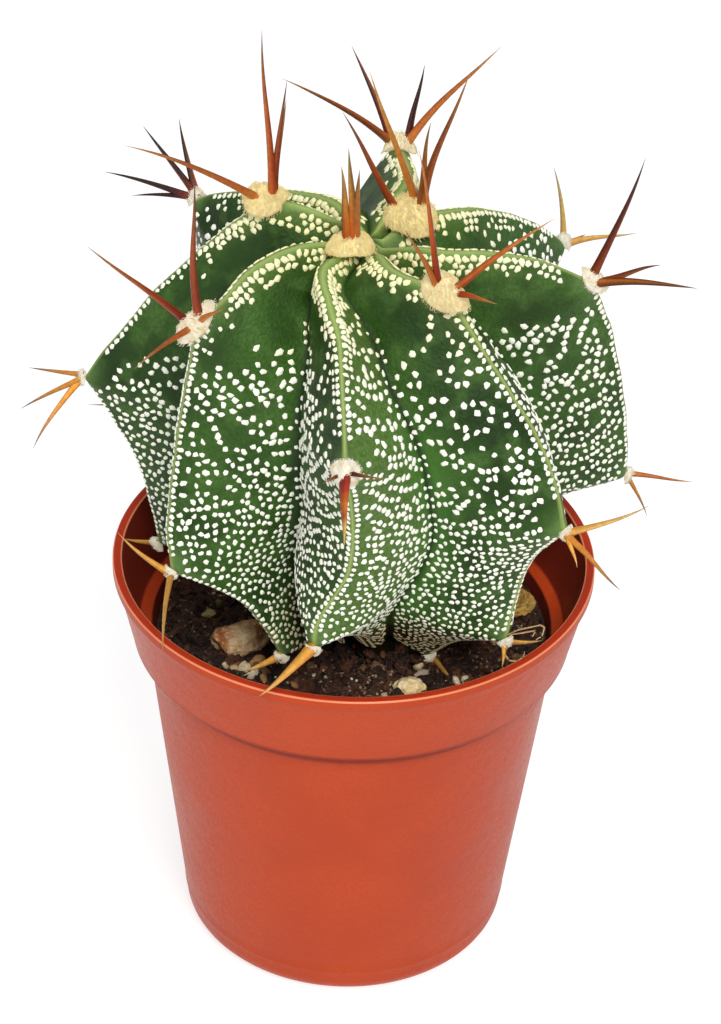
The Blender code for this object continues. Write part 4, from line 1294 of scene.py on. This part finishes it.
class Flank:
    """One flank of the stem and its flecks, each kept as (row, distance from the edge, size)."""

    def __init__(self, grid, rib, side):
        self.points, self.normals, reach = grid.flank(rib, side)
        self.angles = [float(a) for a in grid.angles]
        self.last_column = grid.half
        self.start = FLECK_STARTS.get((rib, side), FLECK_START)
        self.row_gap = np.linalg.norm(np.diff(self.points, axis=0), axis=2)
        self.along = np.concatenate(([0.0], np.cumsum(self.row_gap[:, 0])))
        self.places = [[tuple(p) for p in row] for row in self.points.tolist()]
        self.reaches = reach.tolist()
        self.marks = []
        for age, angle in edge_knots(rib)[1:-1]:
            above = BARE_ABOVE_YOUNG if age <= LAST_YOUNG_AGE else BARE_ABOVE_OLD
            self.marks.append((float(np.interp(angle, grid.angles, self.along)), above))
        self.scatter = Scatter()
        self.found = []

    def column(self, row, out):
        """Grid column at a distance from the edge."""
        reach = self.reaches[int(row)]
        for k in range(self.last_column):
            if out < reach[k + 1]:
                return k + max(out - reach[k], 0.0) / (reach[k + 1] - reach[k])
        return float(self.last_column)

    def width(self, row):
        """Distance from the edge to the furrow."""
        return self.reaches[int(row)][-1]

    def angle(self, row):
        """Polar angle of a fractional row."""
        low = min(int(row), FINE_ROWS - 2)
        return mix(self.angles[low], self.angles[low + 1], row - low)

    def spot(self, row, out):
        """Point on the skin."""
        i = min(int(row), FINE_ROWS - 2)
        column = self.column(row, out)
        j = min(int(column), self.last_column - 1)
        u, v = row - i, column - j
        corners = (*self.places[i][j:j + 2], *self.places[i + 1][j:j + 2])
        shares = ((1.0 - u) * (1.0 - v), (1.0 - u) * v, u * (1.0 - v), u * v)
        return tuple(sum(c[k] * w for c, w in zip(corners, shares)) for k in range(3))

    def bare(self, row, out):
        """True just above an areole, where the skin is smooth, and off the flank's ends."""
        if not 1.0 < row < FINE_ROWS - 3.0:
            return True
        low = int(row)
        here = mix(self.along[low], self.along[low + 1], row - low)
        for mark, above in self.marks:
            up = mark - here
            if -0.9 < up < above and out < above * 0.75 - 0.2 * abs(up - above / 2.0):
                return True
        return False

    def cover(self, row, out):
        """How fully a place is flecked, from 0 to 1."""
        part = out / self.width(row)
        edge, middle, furrow = self.start
        start = mix(edge, middle, part * 2.0) if part < 0.5 else mix(middle, furrow, part * 2.0 - 1.0)
        spot = Vector(self.spot(row, out))
        angle = self.angle(row)
        drift = 5.0 * noise.noise(spot / 4.0)
        clumps = ease((noise.noise(spot / CLUMP_WIDTH + Vector((7.0, 0.0, 0.0))) + 0.16) / 0.24)
        clumps = mix(clumps, 1.0, ease((angle - CLUMPS_UNTIL) / 35.0))
        return clumps * ease((angle + drift - start + 4.0) / 8.0)

    def keep(self, row, out, size, apart):
        """Place one fleck if nothing is nearer than the given distance."""
        point = self.spot(row, out)
        if self.scatter.free(point, apart):
            self.scatter.add(point)
            self.found.append((row, out, size))
            return True
        return False

    def rows(self, chance):
        """The close row beside the rib edge, and the small flecks in the furrow's crease."""
        travelled = 2.5
        while travelled < self.along[-1] - 1.0:
            row = float(np.interp(travelled, self.along, np.arange(FINE_ROWS)))
            angle = self.angle(row)
            crown = 1.0 - ease((angle - 14.0) / 28.0)
            low = ease((angle - 60.0) / 60.0)
            out = EDGE_ROW_OFFSET + 0.5 * crown - 0.1 * low + chance.uniform(-0.09, 0.09)
            size = mix(mix(0.4, 0.33, low), 0.52, crown) * chance.uniform(0.88, 1.12)
            if not self.bare(row, 0.0):
                self.keep(row, out, size, 0.5)
            inner = 1.0 - ease((angle - 20.0) / 40.0)
            for extra, share in BESIDE_EDGE_ROW:
                if out + extra < self.width(row) - 0.5 and chance.random() < share * inner:
                    self.keep(row, out + extra + chance.uniform(-0.12, 0.12), size * 0.92, 0.8)
            spacing = EDGE_ROW_SPACING * mix(1.0, 0.86, low) * mix(1.0, 1.05, crown)
            travelled += spacing * chance.uniform(0.9, 1.12)
        row = 20.0
        while row < FINE_ROWS - 30.0:
            out = self.width(row) - CREASE_OFFSET
            if self.angle(row) > 24.0 and chance.random() < 0.75:
                self.keep(row, out, CREASE_FLECK_SIZE * chance.uniform(0.8, 1.2), 0.5)
            row += CREASE_SPACING * chance.uniform(0.8, 1.3) / float(self.row_gap[int(row), -1])

    def chain(self, row, out, chance):
        """A curved chain of flecks that runs down and away from the rib edge; single flecks lower down."""
        angle = self.angle(row)
        size = down_flank(FLECK_SIZES, angle)
        room = down_flank(FLECK_ROOMS, angle) * chance.uniform(0.95, 1.15)
        count = max(1, round(down_flank(CHAIN_LENGTHS, angle) * chance.uniform(0.4, 1.4)))
        high = 1.0 - ease((angle - 60.0) / 50.0)
        slope = math.radians(mix(15.0, 46.0, high) + chance.uniform(-24.0, 24.0))
        bend = chance.uniform(-0.22, 0.16)
        pitch = CHAIN_PITCH * size
        for k in range(count):
            if not EDGE_CLEARANCE <= out <= self.width(row) - FURROW_CLEARANCE or self.bare(row, out):
                return
            if not self.keep(row, out, size * chance.uniform(0.84, 1.12), room if k == 0 else pitch * 0.88):
                return
            out += math.cos(slope) * pitch
            column = min(int(self.column(row, out)), self.last_column)
            row += math.sin(slope) * pitch / float(self.row_gap[min(int(row), FINE_ROWS - 2), column])
            slope += bend
            pitch *= chance.uniform(0.95, 1.1)

    def fill(self, draws, chance, tries, from_angle):
        """Try many even random places below a polar angle."""
        right = self.points[:-1, 1:] - self.points[:-1, :-1]
        down = self.points[1:, :-1] - self.points[:-1, :-1]
        area = np.linalg.norm(np.cross(right, down), axis=2)
        area[:np.searchsorted(self.angles, from_angle)] = 0.0
        total = np.cumsum(area.ravel())
        picks = np.searchsorted(total, draws.random(tries) * total[-1])
        for pick in picks.tolist():
            row = pick // area.shape[1] + chance.random()
            column = pick % area.shape[1]
            reach = self.reaches[int(row)]
            out = mix(reach[column], reach[column + 1], chance.random())
            open_skin = out > EDGE_CLEARANCE and not self.bare(row, out)
            if open_skin and chance.random() < self.cover(row, out):
                self.chain(row, out, chance)


def fleck_meshes(points, normals, sizes, chance):
    """Vertices and faces of low angular tufts, one for each point."""
    count = len(points)
    turn = chance.random(count) * math.tau
    stretch = 1.0 + 0.3 * chance.random(count)
    helper = np.where(np.abs(normals[:, 2:3]) < 0.9, [[0.0, 0.0, 1.0]], [[1.0, 0.0, 0.0]])
    first = np.cross(normals, helper)
    first /= np.linalg.norm(first, axis=1, keepdims=True)
    second = np.cross(normals, first)
    around = np.arange(FLECK_SIDES) * math.tau / FLECK_SIDES
    jitter = (chance.random((count, FLECK_SIDES)) - 0.5) * 0.7
    reach = sizes[:, None] * (0.76 + 0.44 * chance.random((count, FLECK_SIDES)))
    verts = np.zeros((count, 2 * FLECK_SIDES + 1, 3))
    for level, (spread, rise) in enumerate(((1.0, -0.15), (0.88, 0.24))):
        x = np.cos(around + jitter) * reach * spread * stretch[:, None]
        y = np.sin(around + jitter) * reach * spread / stretch[:, None] ** 0.5
        u = x * np.cos(turn)[:, None] - y * np.sin(turn)[:, None]
        v = x * np.sin(turn)[:, None] + y * np.cos(turn)[:, None]
        height = sizes[:, None] * (rise + 0.1 * (chance.random((count, FLECK_SIDES)) - 0.5) * level)
        verts[:, level * FLECK_SIDES:(level + 1) * FLECK_SIDES] = (
            points[:, None] + first[:, None] * u[..., None] + second[:, None] * v[..., None]
            + normals[:, None] * height[..., None])
    verts[:, -1] = points + normals * (sizes * 0.3)[:, None]
    pattern = []
    for k in range(FLECK_SIDES):
        m = (k + 1) % FLECK_SIDES
        pattern.append((k, m, FLECK_SIDES + m, FLECK_SIDES + k))
        pattern.append((FLECK_SIDES + k, FLECK_SIDES + m, 2 * FLECK_SIDES))
    step = 2 * FLECK_SIDES + 1
    faces = [tuple(i * step + v for v in face) for i in range(count) for face in pattern]
    return verts, faces


def fleck_material():
    """Short white wool: soft, matt and a little uneven, with a faint painted glow that lifts its shade."""
    s = Shader("fleck_wool")
    tint = s.layer("tint")[0]
    lint = s.noise(s.place(), 0.16, 2.0, 0.7)
    colour = s.coats(tint, ((224, 220, 190), s.times(lint, 0.2)))
    s.set(Base_Color=colour, Roughness=0.85, Specular_IOR_Level=0.2)
    # Painted glow: a faint emission in the flecks' own colour.
    s.set(Emission_Color=tint, Emission_Strength=FLECK_PAINTED_GLOW)
    s.bump(lint, 0.03)
    return s.material


def fleck_tints(angles, draws):
    """Yellowish at the crown, white on the flanks, cream at the foot."""
    young = np.clip(1.0 - (angles - 12.0) / 40.0, 0.0, 1.0)[:, None]
    old = np.clip((angles - 126.0) / 20.0, 0.0, 1.0)[:, None]
    shade = (0.9 + 0.1 * draws.random(len(angles)))[:, None]
    tint = (1.0 - young) * np.array(srgb(250, 251, 238)) + young * np.array(srgb(240, 236, 180))
    return shade * ((1.0 - old) * tint + old * np.array(srgb(244, 226, 176)))


def build_flecks(grid):
    """The wool flecks of each rib, in one piece a rib."""
    wool = fleck_material()
    for rib, name in enumerate(RIB_NAMES):
        draws = np.random.default_rng(FLECK_SEED * 100 + rib)
        chance = random.Random(FLECK_SEED * 100 + rib)
        parts = []
        for side in (1, -1):
            flank = Flank(grid, rib, side)
            flank.rows(chance)
            flank.fill(draws, chance, EVEN_TRIES, 0.0)
            flank.fill(draws, chance, LOW_TRIES, LOW_TRIES_FROM)
            rows, _, sizes = np.array(flank.found).T
            columns = np.array([flank.column(row, out) for row, out, _ in flank.found])
            normals = between(flank.normals, rows, columns)
            normals /= np.linalg.norm(normals, axis=1, keepdims=True)
            angles = np.interp(rows, np.arange(FINE_ROWS), grid.angles)
            parts.append((between(flank.points, rows, columns), normals, sizes, angles))
        points, normals, sizes, angles = (np.concatenate(pair) for pair in zip(*parts))
        verts, faces = fleck_meshes(points, normals, sizes, draws)
        world = verts.reshape(-1, 3) @ STEM_TURN.T + np.array(STEM_FOOT)
        flecks = add_object("flecks_" + name, world, faces, wool)
        paint(flecks, "tint", np.repeat(fleck_tints(angles, draws), 2 * FLECK_SIDES + 1, axis=0))
        settle(flecks, "areole_wool")


# Areoles: wool and spines


def areole_frame(age):
    """Where an areole sits in millimetres: X to its right, Y to the crown, Z straight out."""
    rib = areole_rib(age)
    lift = GAP + CROWN_LIFT * math.exp(-age)
    if age == CROWN_TUFT_AGE:
        rise = smooth_edge(1.0, CROWN_TUFT_ROW)[1] - STEM_FOOT[2] + lift
        return STEM @ Matrix.Translation(Vector((*CROWN_TUFT, rise)))
    angle = areole_angle(age)
    origin = edge_point(rib, angle)
    turn = 360.0 / RIB_COUNT * rib + rib_swing(rib, angle)
    right = -clockwise(turn)
    reach = RIB_REACH[rib]
    facing = min(angle, LOWEST_FACING)
    slope = smooth_edge(reach, facing - 2.0) - smooth_edge(reach, facing + 2.0)
    to_crown = (outward(turn) * slope[0] + Vector((0.0, 0.0, slope[1]))).normalized()
    out = right.cross(to_crown).normalized()
    turned = Matrix((right, to_crown, out)).transposed().to_4x4()
    return STEM @ Matrix.Translation(origin + out * lift) @ turned


def hidden_bundle(age):
    """A bundle of spines that follows the common pattern, for an areole on the far side or low down."""
    chance = random.Random(SPINE_SEED + age)
    low = age > LAST_FULL_AGE
    count = LOW_BUNDLE_COUNT if low else FULL_BUNDLE_COUNT
    length = LOW_BUNDLE_LENGTH if low else FULL_BUNDLE_LENGTH
    lean = LOW_BUNDLE_LEAN if low else FULL_BUNDLE_LEAN
    bundle = []
    for i in range(count):
        turn = mix(-BUNDLE_FAN, BUNDLE_FAN, i / (count - 1)) + chance.uniform(-12.0, 12.0)
        bundle.append((turn, lean + chance.uniform(-8.0, 8.0), length * chance.uniform(0.75, 1.1)))
    return bundle


# Spine colours from base to tip, as (part of the length, screen colour)
RUST = (
    (0.0, (182, 76, 26)), (0.15, (158, 58, 20)), (0.5, (166, 78, 32)), (0.85, (124, 76, 50)),
    (1.0, (90, 72, 64)),
)
CRIMSON = (
    (0.0, (136, 30, 10)), (0.12, (160, 42, 8)), (0.4, (196, 82, 20)), (0.75, (206, 126, 50)),
    (1.0, (214, 166, 100)),
)
OCHRE = (
    (0.0, (206, 110, 34)), (0.2, (196, 112, 40)), (0.6, (184, 116, 50)), (0.9, (160, 124, 68)),
    (1.0, (154, 132, 92)),
)
GOLD = ((0.0, (214, 126, 50)), (0.3, (226, 140, 48)), (0.7, (226, 156, 64)), (1.0, (226, 182, 100)))
TUFT = (
    (0.0, (204, 76, 16)), (0.2, (196, 96, 24)), (0.5, (190, 128, 46)), (0.85, (160, 130, 70)),
    (1.0, (140, 124, 90)),
)
BARK = (
    (0.0, (200, 120, 48)), (0.15, (170, 84, 30)), (0.6, (158, 82, 34)), (0.85, (184, 124, 60)),
    (1.0, (206, 170, 110)),
)
SOOT = (
    (0.0, (170, 70, 24)), (0.1, (112, 34, 14)), (0.22, (54, 18, 12)), (0.8, (36, 18, 18)),
    (1.0, (90, 78, 76)),
)
DUSK = (
    (0.0, (150, 60, 26)), (0.12, (96, 30, 16)), (0.5, (62, 22, 16)), (0.85, (72, 40, 36)),
    (1.0, (110, 98, 92)),
)
MAHOGANY = (
    (0.0, (176, 84, 26)), (0.12, (150, 58, 18)), (0.45, (110, 42, 22)), (0.8, (84, 42, 38)),
    (1.0, (112, 92, 88)),
)
AMBER = (
    (0.0, (240, 160, 50)), (0.3, (234, 156, 60)), (0.6, (204, 144, 76)), (0.85, (126, 100, 84)),
    (1.0, (84, 76, 80)),
)
STRAW = ((0.0, (240, 184, 84)), (0.4, (236, 196, 110)), (0.8, (216, 184, 122)), (1.0, (140, 120, 90)))
HONEY = ((0.0, (242, 172, 66)), (0.5, (244, 180, 80)), (0.85, (236, 180, 104)), (1.0, (204, 150, 96)))
EMBER = (
    (0.0, (130, 22, 10)), (0.2, (176, 44, 14)), (0.4, (206, 112, 28)), (0.6, (176, 86, 30)),
    (0.7, (226, 176, 84)), (1.0, (230, 196, 120)),
)
UMBER = ((0.0, (40, 16, 12)), (0.25, (96, 40, 22)), (0.7, (176, 104, 50)), (1.0, (190, 130, 80)))
# Palettes of the spines by age; the other areoles have HONEY alone
PALETTES = {
    0: (TUFT, TUFT, OCHRE),
    1: (RUST, GOLD, OCHRE, BARK),
    2: (BARK, RUST, OCHRE, RUST),
    3: (CRIMSON, OCHRE, CRIMSON, CRIMSON),
    4: (BARK, DUSK, DUSK, BARK),
    5: (CRIMSON, RUST, BARK, OCHRE),
    6: (MAHOGANY, MAHOGANY, DUSK),
    7: (SOOT,),
    8: (UMBER, UMBER, EMBER),
    9: (STRAW, STRAW, OCHRE),
    10: (AMBER,),
    11: (STRAW, AMBER, HONEY),
    12: (AMBER, RUST),
    14: (BARK, AMBER),
    15: (AMBER, BARK),
}
# Colour of the painted highlight along one side of each spine.
PAINTED_HIGHLIGHT_COLOUR = (230, 138, 52)
# How deep a spine stands in its cushion
SPINE_ROOT = 0.3
# How far apart the feet of a bundle's spines stand, and how stout they are
SPINE_SPREAD = 0.35
SPINE_SPREADS = {1: 1.7, 2: 1.0, 3: 1.1, 4: 1.0, 5: 0.9, 6: 0.5, 8: 0.6}
STOUTNESS = {
    0: (1.35,), 8: (0.8, 0.8, 1.35), 9: (0.85,), 10: (0.9,), 11: (0.8,), 13: (0.9,), 14: (0.7,), 16: (1.5,),
    21: (1.5,),
}
SPINE_LOOK_SEED = 700
SPINE_SIDES = 10
SPINE_STEPS = 16


def palette_colour(palette, part):
    """Colour of a spine at a part of its length."""
    for (start, first), (end, second) in zip(palette, palette[1:]):
        if part <= end:
            share = (part - start) / (end - start)
            return tuple(mix(a, b, share) for a, b in zip(srgb(*first), srgb(*second)))
    return srgb(*palette[-1][1])


def spine_ends(age, turn, lean, length):
    """Foot and tip of a spine in its areole's frame."""
    gain = 1.0 + CUSHION_YOUNG_GAIN * math.exp(-age / CUSHION_AGEING)
    start_height = CUSHION_HEIGHT * gain * 0.45
    turn, lean = math.radians(turn), math.radians(lean)
    sideways = Vector((math.sin(turn), math.cos(turn), 0.0))
    along = sideways * math.sin(lean) + UP * math.cos(lean)
    tip = UP * start_height + along * length
    foot = UP * (start_height - SPINE_ROOT) + sideways * SPINE_SPREADS.get(age, SPINE_SPREAD)
    return foot, tip


def add_spine(bundle, place, foot, tip, stout, palette, chance):
    """Append one tapered, slightly bent spine, with a painted highlight along one side and painted shade on
    the other.
    """
    along = (tip - foot).normalized()
    length = (tip - foot).length
    radius = SPINE_RADIUS * min(1.0, 0.55 + length / 25.0) * stout
    first = along.orthogonal().normalized()
    second = along.cross(first)
    wobble = chance.uniform(-0.012, 0.012) * length
    flat = chance.uniform(0.74, 0.92)
    light = chance.uniform(0.88, 1.12)
    painted_light_turn = chance.uniform(0.0, math.tau)
    streaks = [chance.uniform(0.72, 1.12) for _ in range(SPINE_SIDES)]
    begin = len(bundle.verts)
    for i in range(SPINE_STEPS + 1):
        part = (i / SPINE_STEPS) ** 1.15
        bow = 4.0 * part * (1.0 - part)
        centre = foot + along * (length * part - 0.5 * (i == 0)) + UP * (SPINE_BEND * length * bow)
        centre += first * wobble * math.sin(math.tau * part)
        thick = radius * (1.0 - part) ** 0.85 * (1.0 + 0.2 * math.exp(-part * 16.0))
        base = palette_colour(palette, part)
        for k, streak in enumerate(streaks):
            around = math.tau * k / SPINE_SIDES
            # Painted highlight on the side that faces the chosen turn, painted shade on the side away from
            # it.
            facing = math.cos(around - painted_light_turn)
            keel = 1.0 + 0.09 * math.cos(3.0 * around + painted_light_turn)
            offset = first * math.cos(around) + second * math.sin(around) * flat
            share = 0.6 * max(facing, 0.0) ** 3 * (1.0 - part) ** 0.5
            shade = light * streak * (0.92 - 0.4 * max(-facing, 0.0))
            tint = tuple(mix(b, c, share) * shade for b, c in zip(base, srgb(*PAINTED_HIGHLIGHT_COLOUR)))
            bundle.add([place @ (centre + offset * max(thick * keel, 0.018))], tint)
    bundle.close_tube(begin, SPINE_SIDES)


def spine_material():
    """Hard spine skin: satin, with the colour of its layer and faint growth rings."""
    s = Shader("spine_horn")
    place = s.place()
    flow = s.noise(place, 0.7, 3.0, 0.6)
    colour = s.coats(s.layer("tint")[0], ((60, 20, 8), s.times(flow, 0.25)))
    s.set(Base_Color=colour, Roughness=s.spread(flow, 0.0, 1.0, 0.36, 0.52), Specular_IOR_Level=0.3)
    s.bump(s.noise(place, 0.22, 2.0), 0.03)
    return s.material


# Emission of the wool: painted light that keeps it bright in shade.
WOOL_PAINTED_GLOW = 0.27


def wool_material():
    """Areole wool: matted hair with a painted glow that lifts its shaded parts."""
    s = Shader("areole_wool_fine")
    place = s.place()
    clump = s.noise(place, 0.7, 3.0, 0.6)
    hair = s.noise(place, 0.16, 2.0, 0.7)
    colour = s.coats(
        s.layer("tint")[0],
        ((222, 178, 98), s.times(s.spread(clump, 0.4, 0.9), 0.5)),
        ((255, 248, 222), s.times(hair, 0.45)),
    )
    s.set(Base_Color=colour, Roughness=0.95, Specular_IOR_Level=0.1)
    # Painted glow in the wool's own colour.
    s.set(Emission_Color=colour, Emission_Strength=WOOL_PAINTED_GLOW)
    s.bump(s.plus(hair, s.times(clump, 0.8)), 0.12)
    return s.material


def wool_colour(age):
    """Cream on young areoles, nearly white on old ones."""
    old = ease((age - 1.5) / 5.0)
    return tuple(mix(a, b, old) for a, b in zip(srgb(255, 230, 146), srgb(254, 248, 234)))


WOOL_SEED = 300
WOOL_SIDES = 28
WOOL_RINGS = 9
WOOL_DROOP = 1.2
# Hairs that lie on a cushion and that stand off its rim: so many for its size, and so many more
LYING_HAIRS = (75.0, 80)
RIM_HAIRS = (40.0, 16)
# Half width, half length and height of the wool of the youngest areoles
WOOL_SIZES = {
    0: (3.2, 2.3, 1.9),
    1: (4.1, 3.1, 2.0),
    2: (2.6, 3.2, 1.6),
    3: (2.4, 3.8, 1.7),
    4: (2.1, 1.9, 1.6),
    5: (1.6, 3.1, 1.4),
    6: (1.5, 2.0, 1.2),
    7: (1.2, 1.4, 1.0),
    8: (1.75, 1.9, 0.9),
    9: (1.1, 1.3, 0.8),
}
OLD_WOOL = (0.95, 1.15, 0.45)


class Cushion:
    """Shape of one areole's wool: a lumpy dome that droops over the sides of the rib."""

    def __init__(self, age):
        self.width, self.length, self.height = WOOL_SIZES.get(age, OLD_WOOL)
        self.age = age
        self.droop = WOOL_DROOP * (0.5 if age == CROWN_TUFT_AGE else min(1.0, self.width / 2.4))

    def point(self, part, turn):
        """Place on the dome: part 0 is the top and 1 the rim; beyond the rim the hair hangs free."""
        wave = Vector((math.cos(turn) * 1.4, math.sin(turn) * 1.4, self.age * 3.7))
        spread = part * (1.0 + 0.2 * noise.noise(wave))
        x = math.cos(turn) * self.width * spread
        y = math.sin(turn) * self.length * spread
        tuft = 0.42 * noise.noise(Vector((x, y, self.age * 1.3)) / 1.1)
        tuft += 0.2 * noise.noise(Vector((x, y, self.age * 2.3)) / 0.45)
        dome = math.sqrt(max(1.0 - part * part, 0.0))
        fall = self.droop * math.cos(turn) ** 2 * part ** 3
        return Vector((x, y, self.height * dome * (0.95 + tuft) - fall))


def build_wool(age, material):
    """The wool of an areole: a felted dome with short hair lying on it and standing off its rim."""
    chance = random.Random(WOOL_SEED + age)
    place = areole_frame(age)
    cushion = Cushion(age)
    base = wool_colour(age)
    wool = Piece()
    for i in range(WOOL_RINGS + 1):
        part = math.sin(math.pi / 2.0 * i / WOOL_RINGS)
        for k in range(WOOL_SIDES):
            point = place @ cushion.point(part, math.tau * (k + 0.5 * i) / WOOL_SIDES)
            wool.add([point], tuple(c * chance.uniform(0.88, 1.0) for c in base))
    last = WOOL_RINGS * WOOL_SIDES
    for ring in range(0, last, WOOL_SIDES):
        for k in range(WOOL_SIDES):
            a, b = ring + k, ring + (k + 1) % WOOL_SIDES
            wool.faces.append((a, a + WOOL_SIDES, b + WOOL_SIDES, b))
    bottom = wool.add([place @ Vector((0.0, 0.0, -0.6))], base)
    wool.faces += [(bottom, last + (k + 1) % WOOL_SIDES, last + k) for k in range(WOOL_SIDES)]
    area = cushion.width * cushion.length
    for _ in range(int(LYING_HAIRS[0] * area) + LYING_HAIRS[1]):
        add_hair(wool, place, cushion, base, chance, math.sqrt(chance.uniform(0.0, 0.9)))
    for _ in range(int(RIM_HAIRS[0] * math.sqrt(area)) + RIM_HAIRS[1]):
        add_hair(wool, place, cushion, base, chance, chance.uniform(0.8, 1.0))
    name = areole_name(age)
    wool.finish("wool_" + name, material, "areole_wool", ["areole_" + name])


def add_hair(wool, place, cushion, base, chance, part):
    """Append one short hair that starts on the cushion and runs outward and round it."""
    turn = chance.uniform(0.0, math.tau)
    size = math.sqrt(cushion.width * cushion.length)
    length = chance.uniform(0.4, 1.1) * min(1.0, 0.35 + size / 4.0)
    out = length / size * chance.uniform(0.1, 1.0)
    round_it = length / size * chance.uniform(-0.9, 0.9) / (part + 0.4)
    lift = chance.uniform(0.0, 0.34)
    width = chance.uniform(0.02, 0.05)
    points = []
    for step in (0.0, 1.0 / 3.0, 2.0 / 3.0, 1.0):
        here = cushion.point(min(part + out * step, 1.12), turn + round_it * step)
        here.z += lift * math.sin(math.pi * min(step + 0.15, 1.0)) + 0.04
        points.append(here)
    tone = chance.choice((0.8, 0.92, 1.0, 1.0, 1.04))
    colour = tuple(min(c * tone, 0.97) for c in base)
    begin = len(wool.verts)
    for i, centre in enumerate(points):
        side = (points[min(i + 1, 3)] - points[max(i - 1, 0)]).cross(UP)
        side = side.normalized() if side.length > 1e-6 else Vector((1.0, 0.0, 0.0))
        thin = width * (1.0 - 0.6 * i / 3.0)
        offsets = (side * thin, -side * thin, UP * (thin * 1.2))
        wool.add([place @ (centre + offset) for offset in offsets], colour)
    wool.close_tube(begin, 3)


# Dry threads that hang from one old areole: across and up the picture from its foot, in millimetres
WITHERED_AGE = 19
WITHERED_THREADS = (
    ((-0.6, 0.7), (1.6, 1.6), (4.4, 2.2), (4.9, 1.9), (4.6, 0.8), (3.6, 0.2)),
    ((-0.6, -0.2), (-0.3, -1.4), (0.3, -2.4), (1.4, -2.5), (2.2, -1.9), (2.4, -1.0)),
    ((0.0, 0.9), (2.2, 1.2), (3.8, 1.5), (3.2, 0.5)),
)
WITHERED_WIDTH = 0.15
WITHERED_COLOUR = (196, 158, 112)


def build_withered():
    """The dry, curled threads at the foot of the front right rib."""
    foot = areole_frame(WITHERED_AGE).translation
    right, up = Vector(CAMERA_RIGHT), Vector(CAMERA_UP)
    tint = srgb(*WITHERED_COLOUR)
    threads = Piece()
    for marks in WITHERED_THREADS:
        flat = [point for pair in zip(marks, marks[1:]) for point in run(*pair, 5)]
        threads.thread([foot + right * across + up * rise for across, rise in flat], WITHERED_WIDTH, tint)
    threads.finish("withered_threads", grit_material(), "areole_wool")


def areole_name(age):
    """Rib name and place on the rib."""
    return "%s_%d" % (RIB_NAMES[areole_rib(age)], age // RIB_COUNT + 1)


def build_spines(age, horn):
    """The bundle of spines of one areole."""
    chance = random.Random(SPINE_LOOK_SEED + age)
    palettes = PALETTES.get(age, (HONEY,))
    stoutness = STOUTNESS.get(age, (1.0,))
    bundle = Piece()
    for index, spine in enumerate(SPINES.get(age) or hidden_bundle(age)):
        foot, tip = spine_ends(age, *spine)
        palette, stout = palettes[index % len(palettes)], stoutness[index % len(stoutness)]
        add_spine(bundle, areole_frame(age), foot, tip, stout, palette, chance)
    bundle.finish("spines_" + areole_name(age), horn, "areole_wool")


# Stage


def build_camera():
    """Camera at the photograph's view."""
    data = bpy.data.cameras.new("camera")
    data.sensor_fit = "HORIZONTAL"
    data.sensor_width = 36.0
    data.lens = CAMERA_LENS
    data.clip_start, data.clip_end = 0.02, 20.0
    camera = new_object("camera", data)
    right, up = Vector(CAMERA_RIGHT).normalized(), Vector(CAMERA_UP).normalized()
    turned = Matrix((right, up, right.cross(up))).transposed().to_4x4()
    camera.matrix_world = Matrix.Translation(Vector(CAMERA_PLACE) * MM) @ turned
    bpy.context.scene.camera = camera


def area_light(name, place, size, power, colour):
    """A square soft light aimed at the plant."""
    data = bpy.data.lights.new(name, "AREA")
    data.shape = "SQUARE"
    data.size = size
    data.energy = power
    data.color = colour
    light = new_object(name, data)
    light.location = place
    light.rotation_euler = (LIGHTS_AIM - light.location).to_track_quat("-Z", "Y").to_euler()


def build_stage():
    """Pale floor and soft studio light."""
    s = Shader("floor_white")
    s.set(Base_Color=(0.35, 0.35, 0.35, 1.0), Roughness=0.9, Specular_IOR_Level=0.1)
    s.set(Emission_Color=(1.0, 1.0, 1.0, 1.0), Emission_Strength=FLOOR_GLOW)
    corners = [(x * FLOOR_HALF, y * FLOOR_HALF, 0) for x, y in ((-1, -1), (1, -1), (1, 1), (-1, 1))]
    add_object("floor", corners, [(0, 1, 2, 3)], s.material)
    world = bpy.data.worlds.new("studio")
    world.use_nodes = True
    background = world.node_tree.nodes["Background"]
    background.inputs["Color"].default_value = (1.0, 1.0, 1.0, 1.0)
    background.inputs["Strength"].default_value = SKY_STRENGTH
    bpy.context.scene.world = world
    for name, light in LIGHTS.items():
        area_light(name, *light)
    bpy.context.scene.view_settings.view_transform = "Standard"


def main():
    """Dress the frame."""
    build_camera()
    build_stage()
    build_pot()
    build_soil(soil_material("peat_fine"))
    build_crumbs()
    build_grit()
    build_fibres()
    build_stones()
    grid = StemGrid()
    build_skin(grid)
    build_flecks(grid)
    wool = wool_material()
    horn = spine_material()
    for age in AREOLE_AGES:
        build_wool(age, wool)
        build_spines(age, horn)
    build_withered()


main()
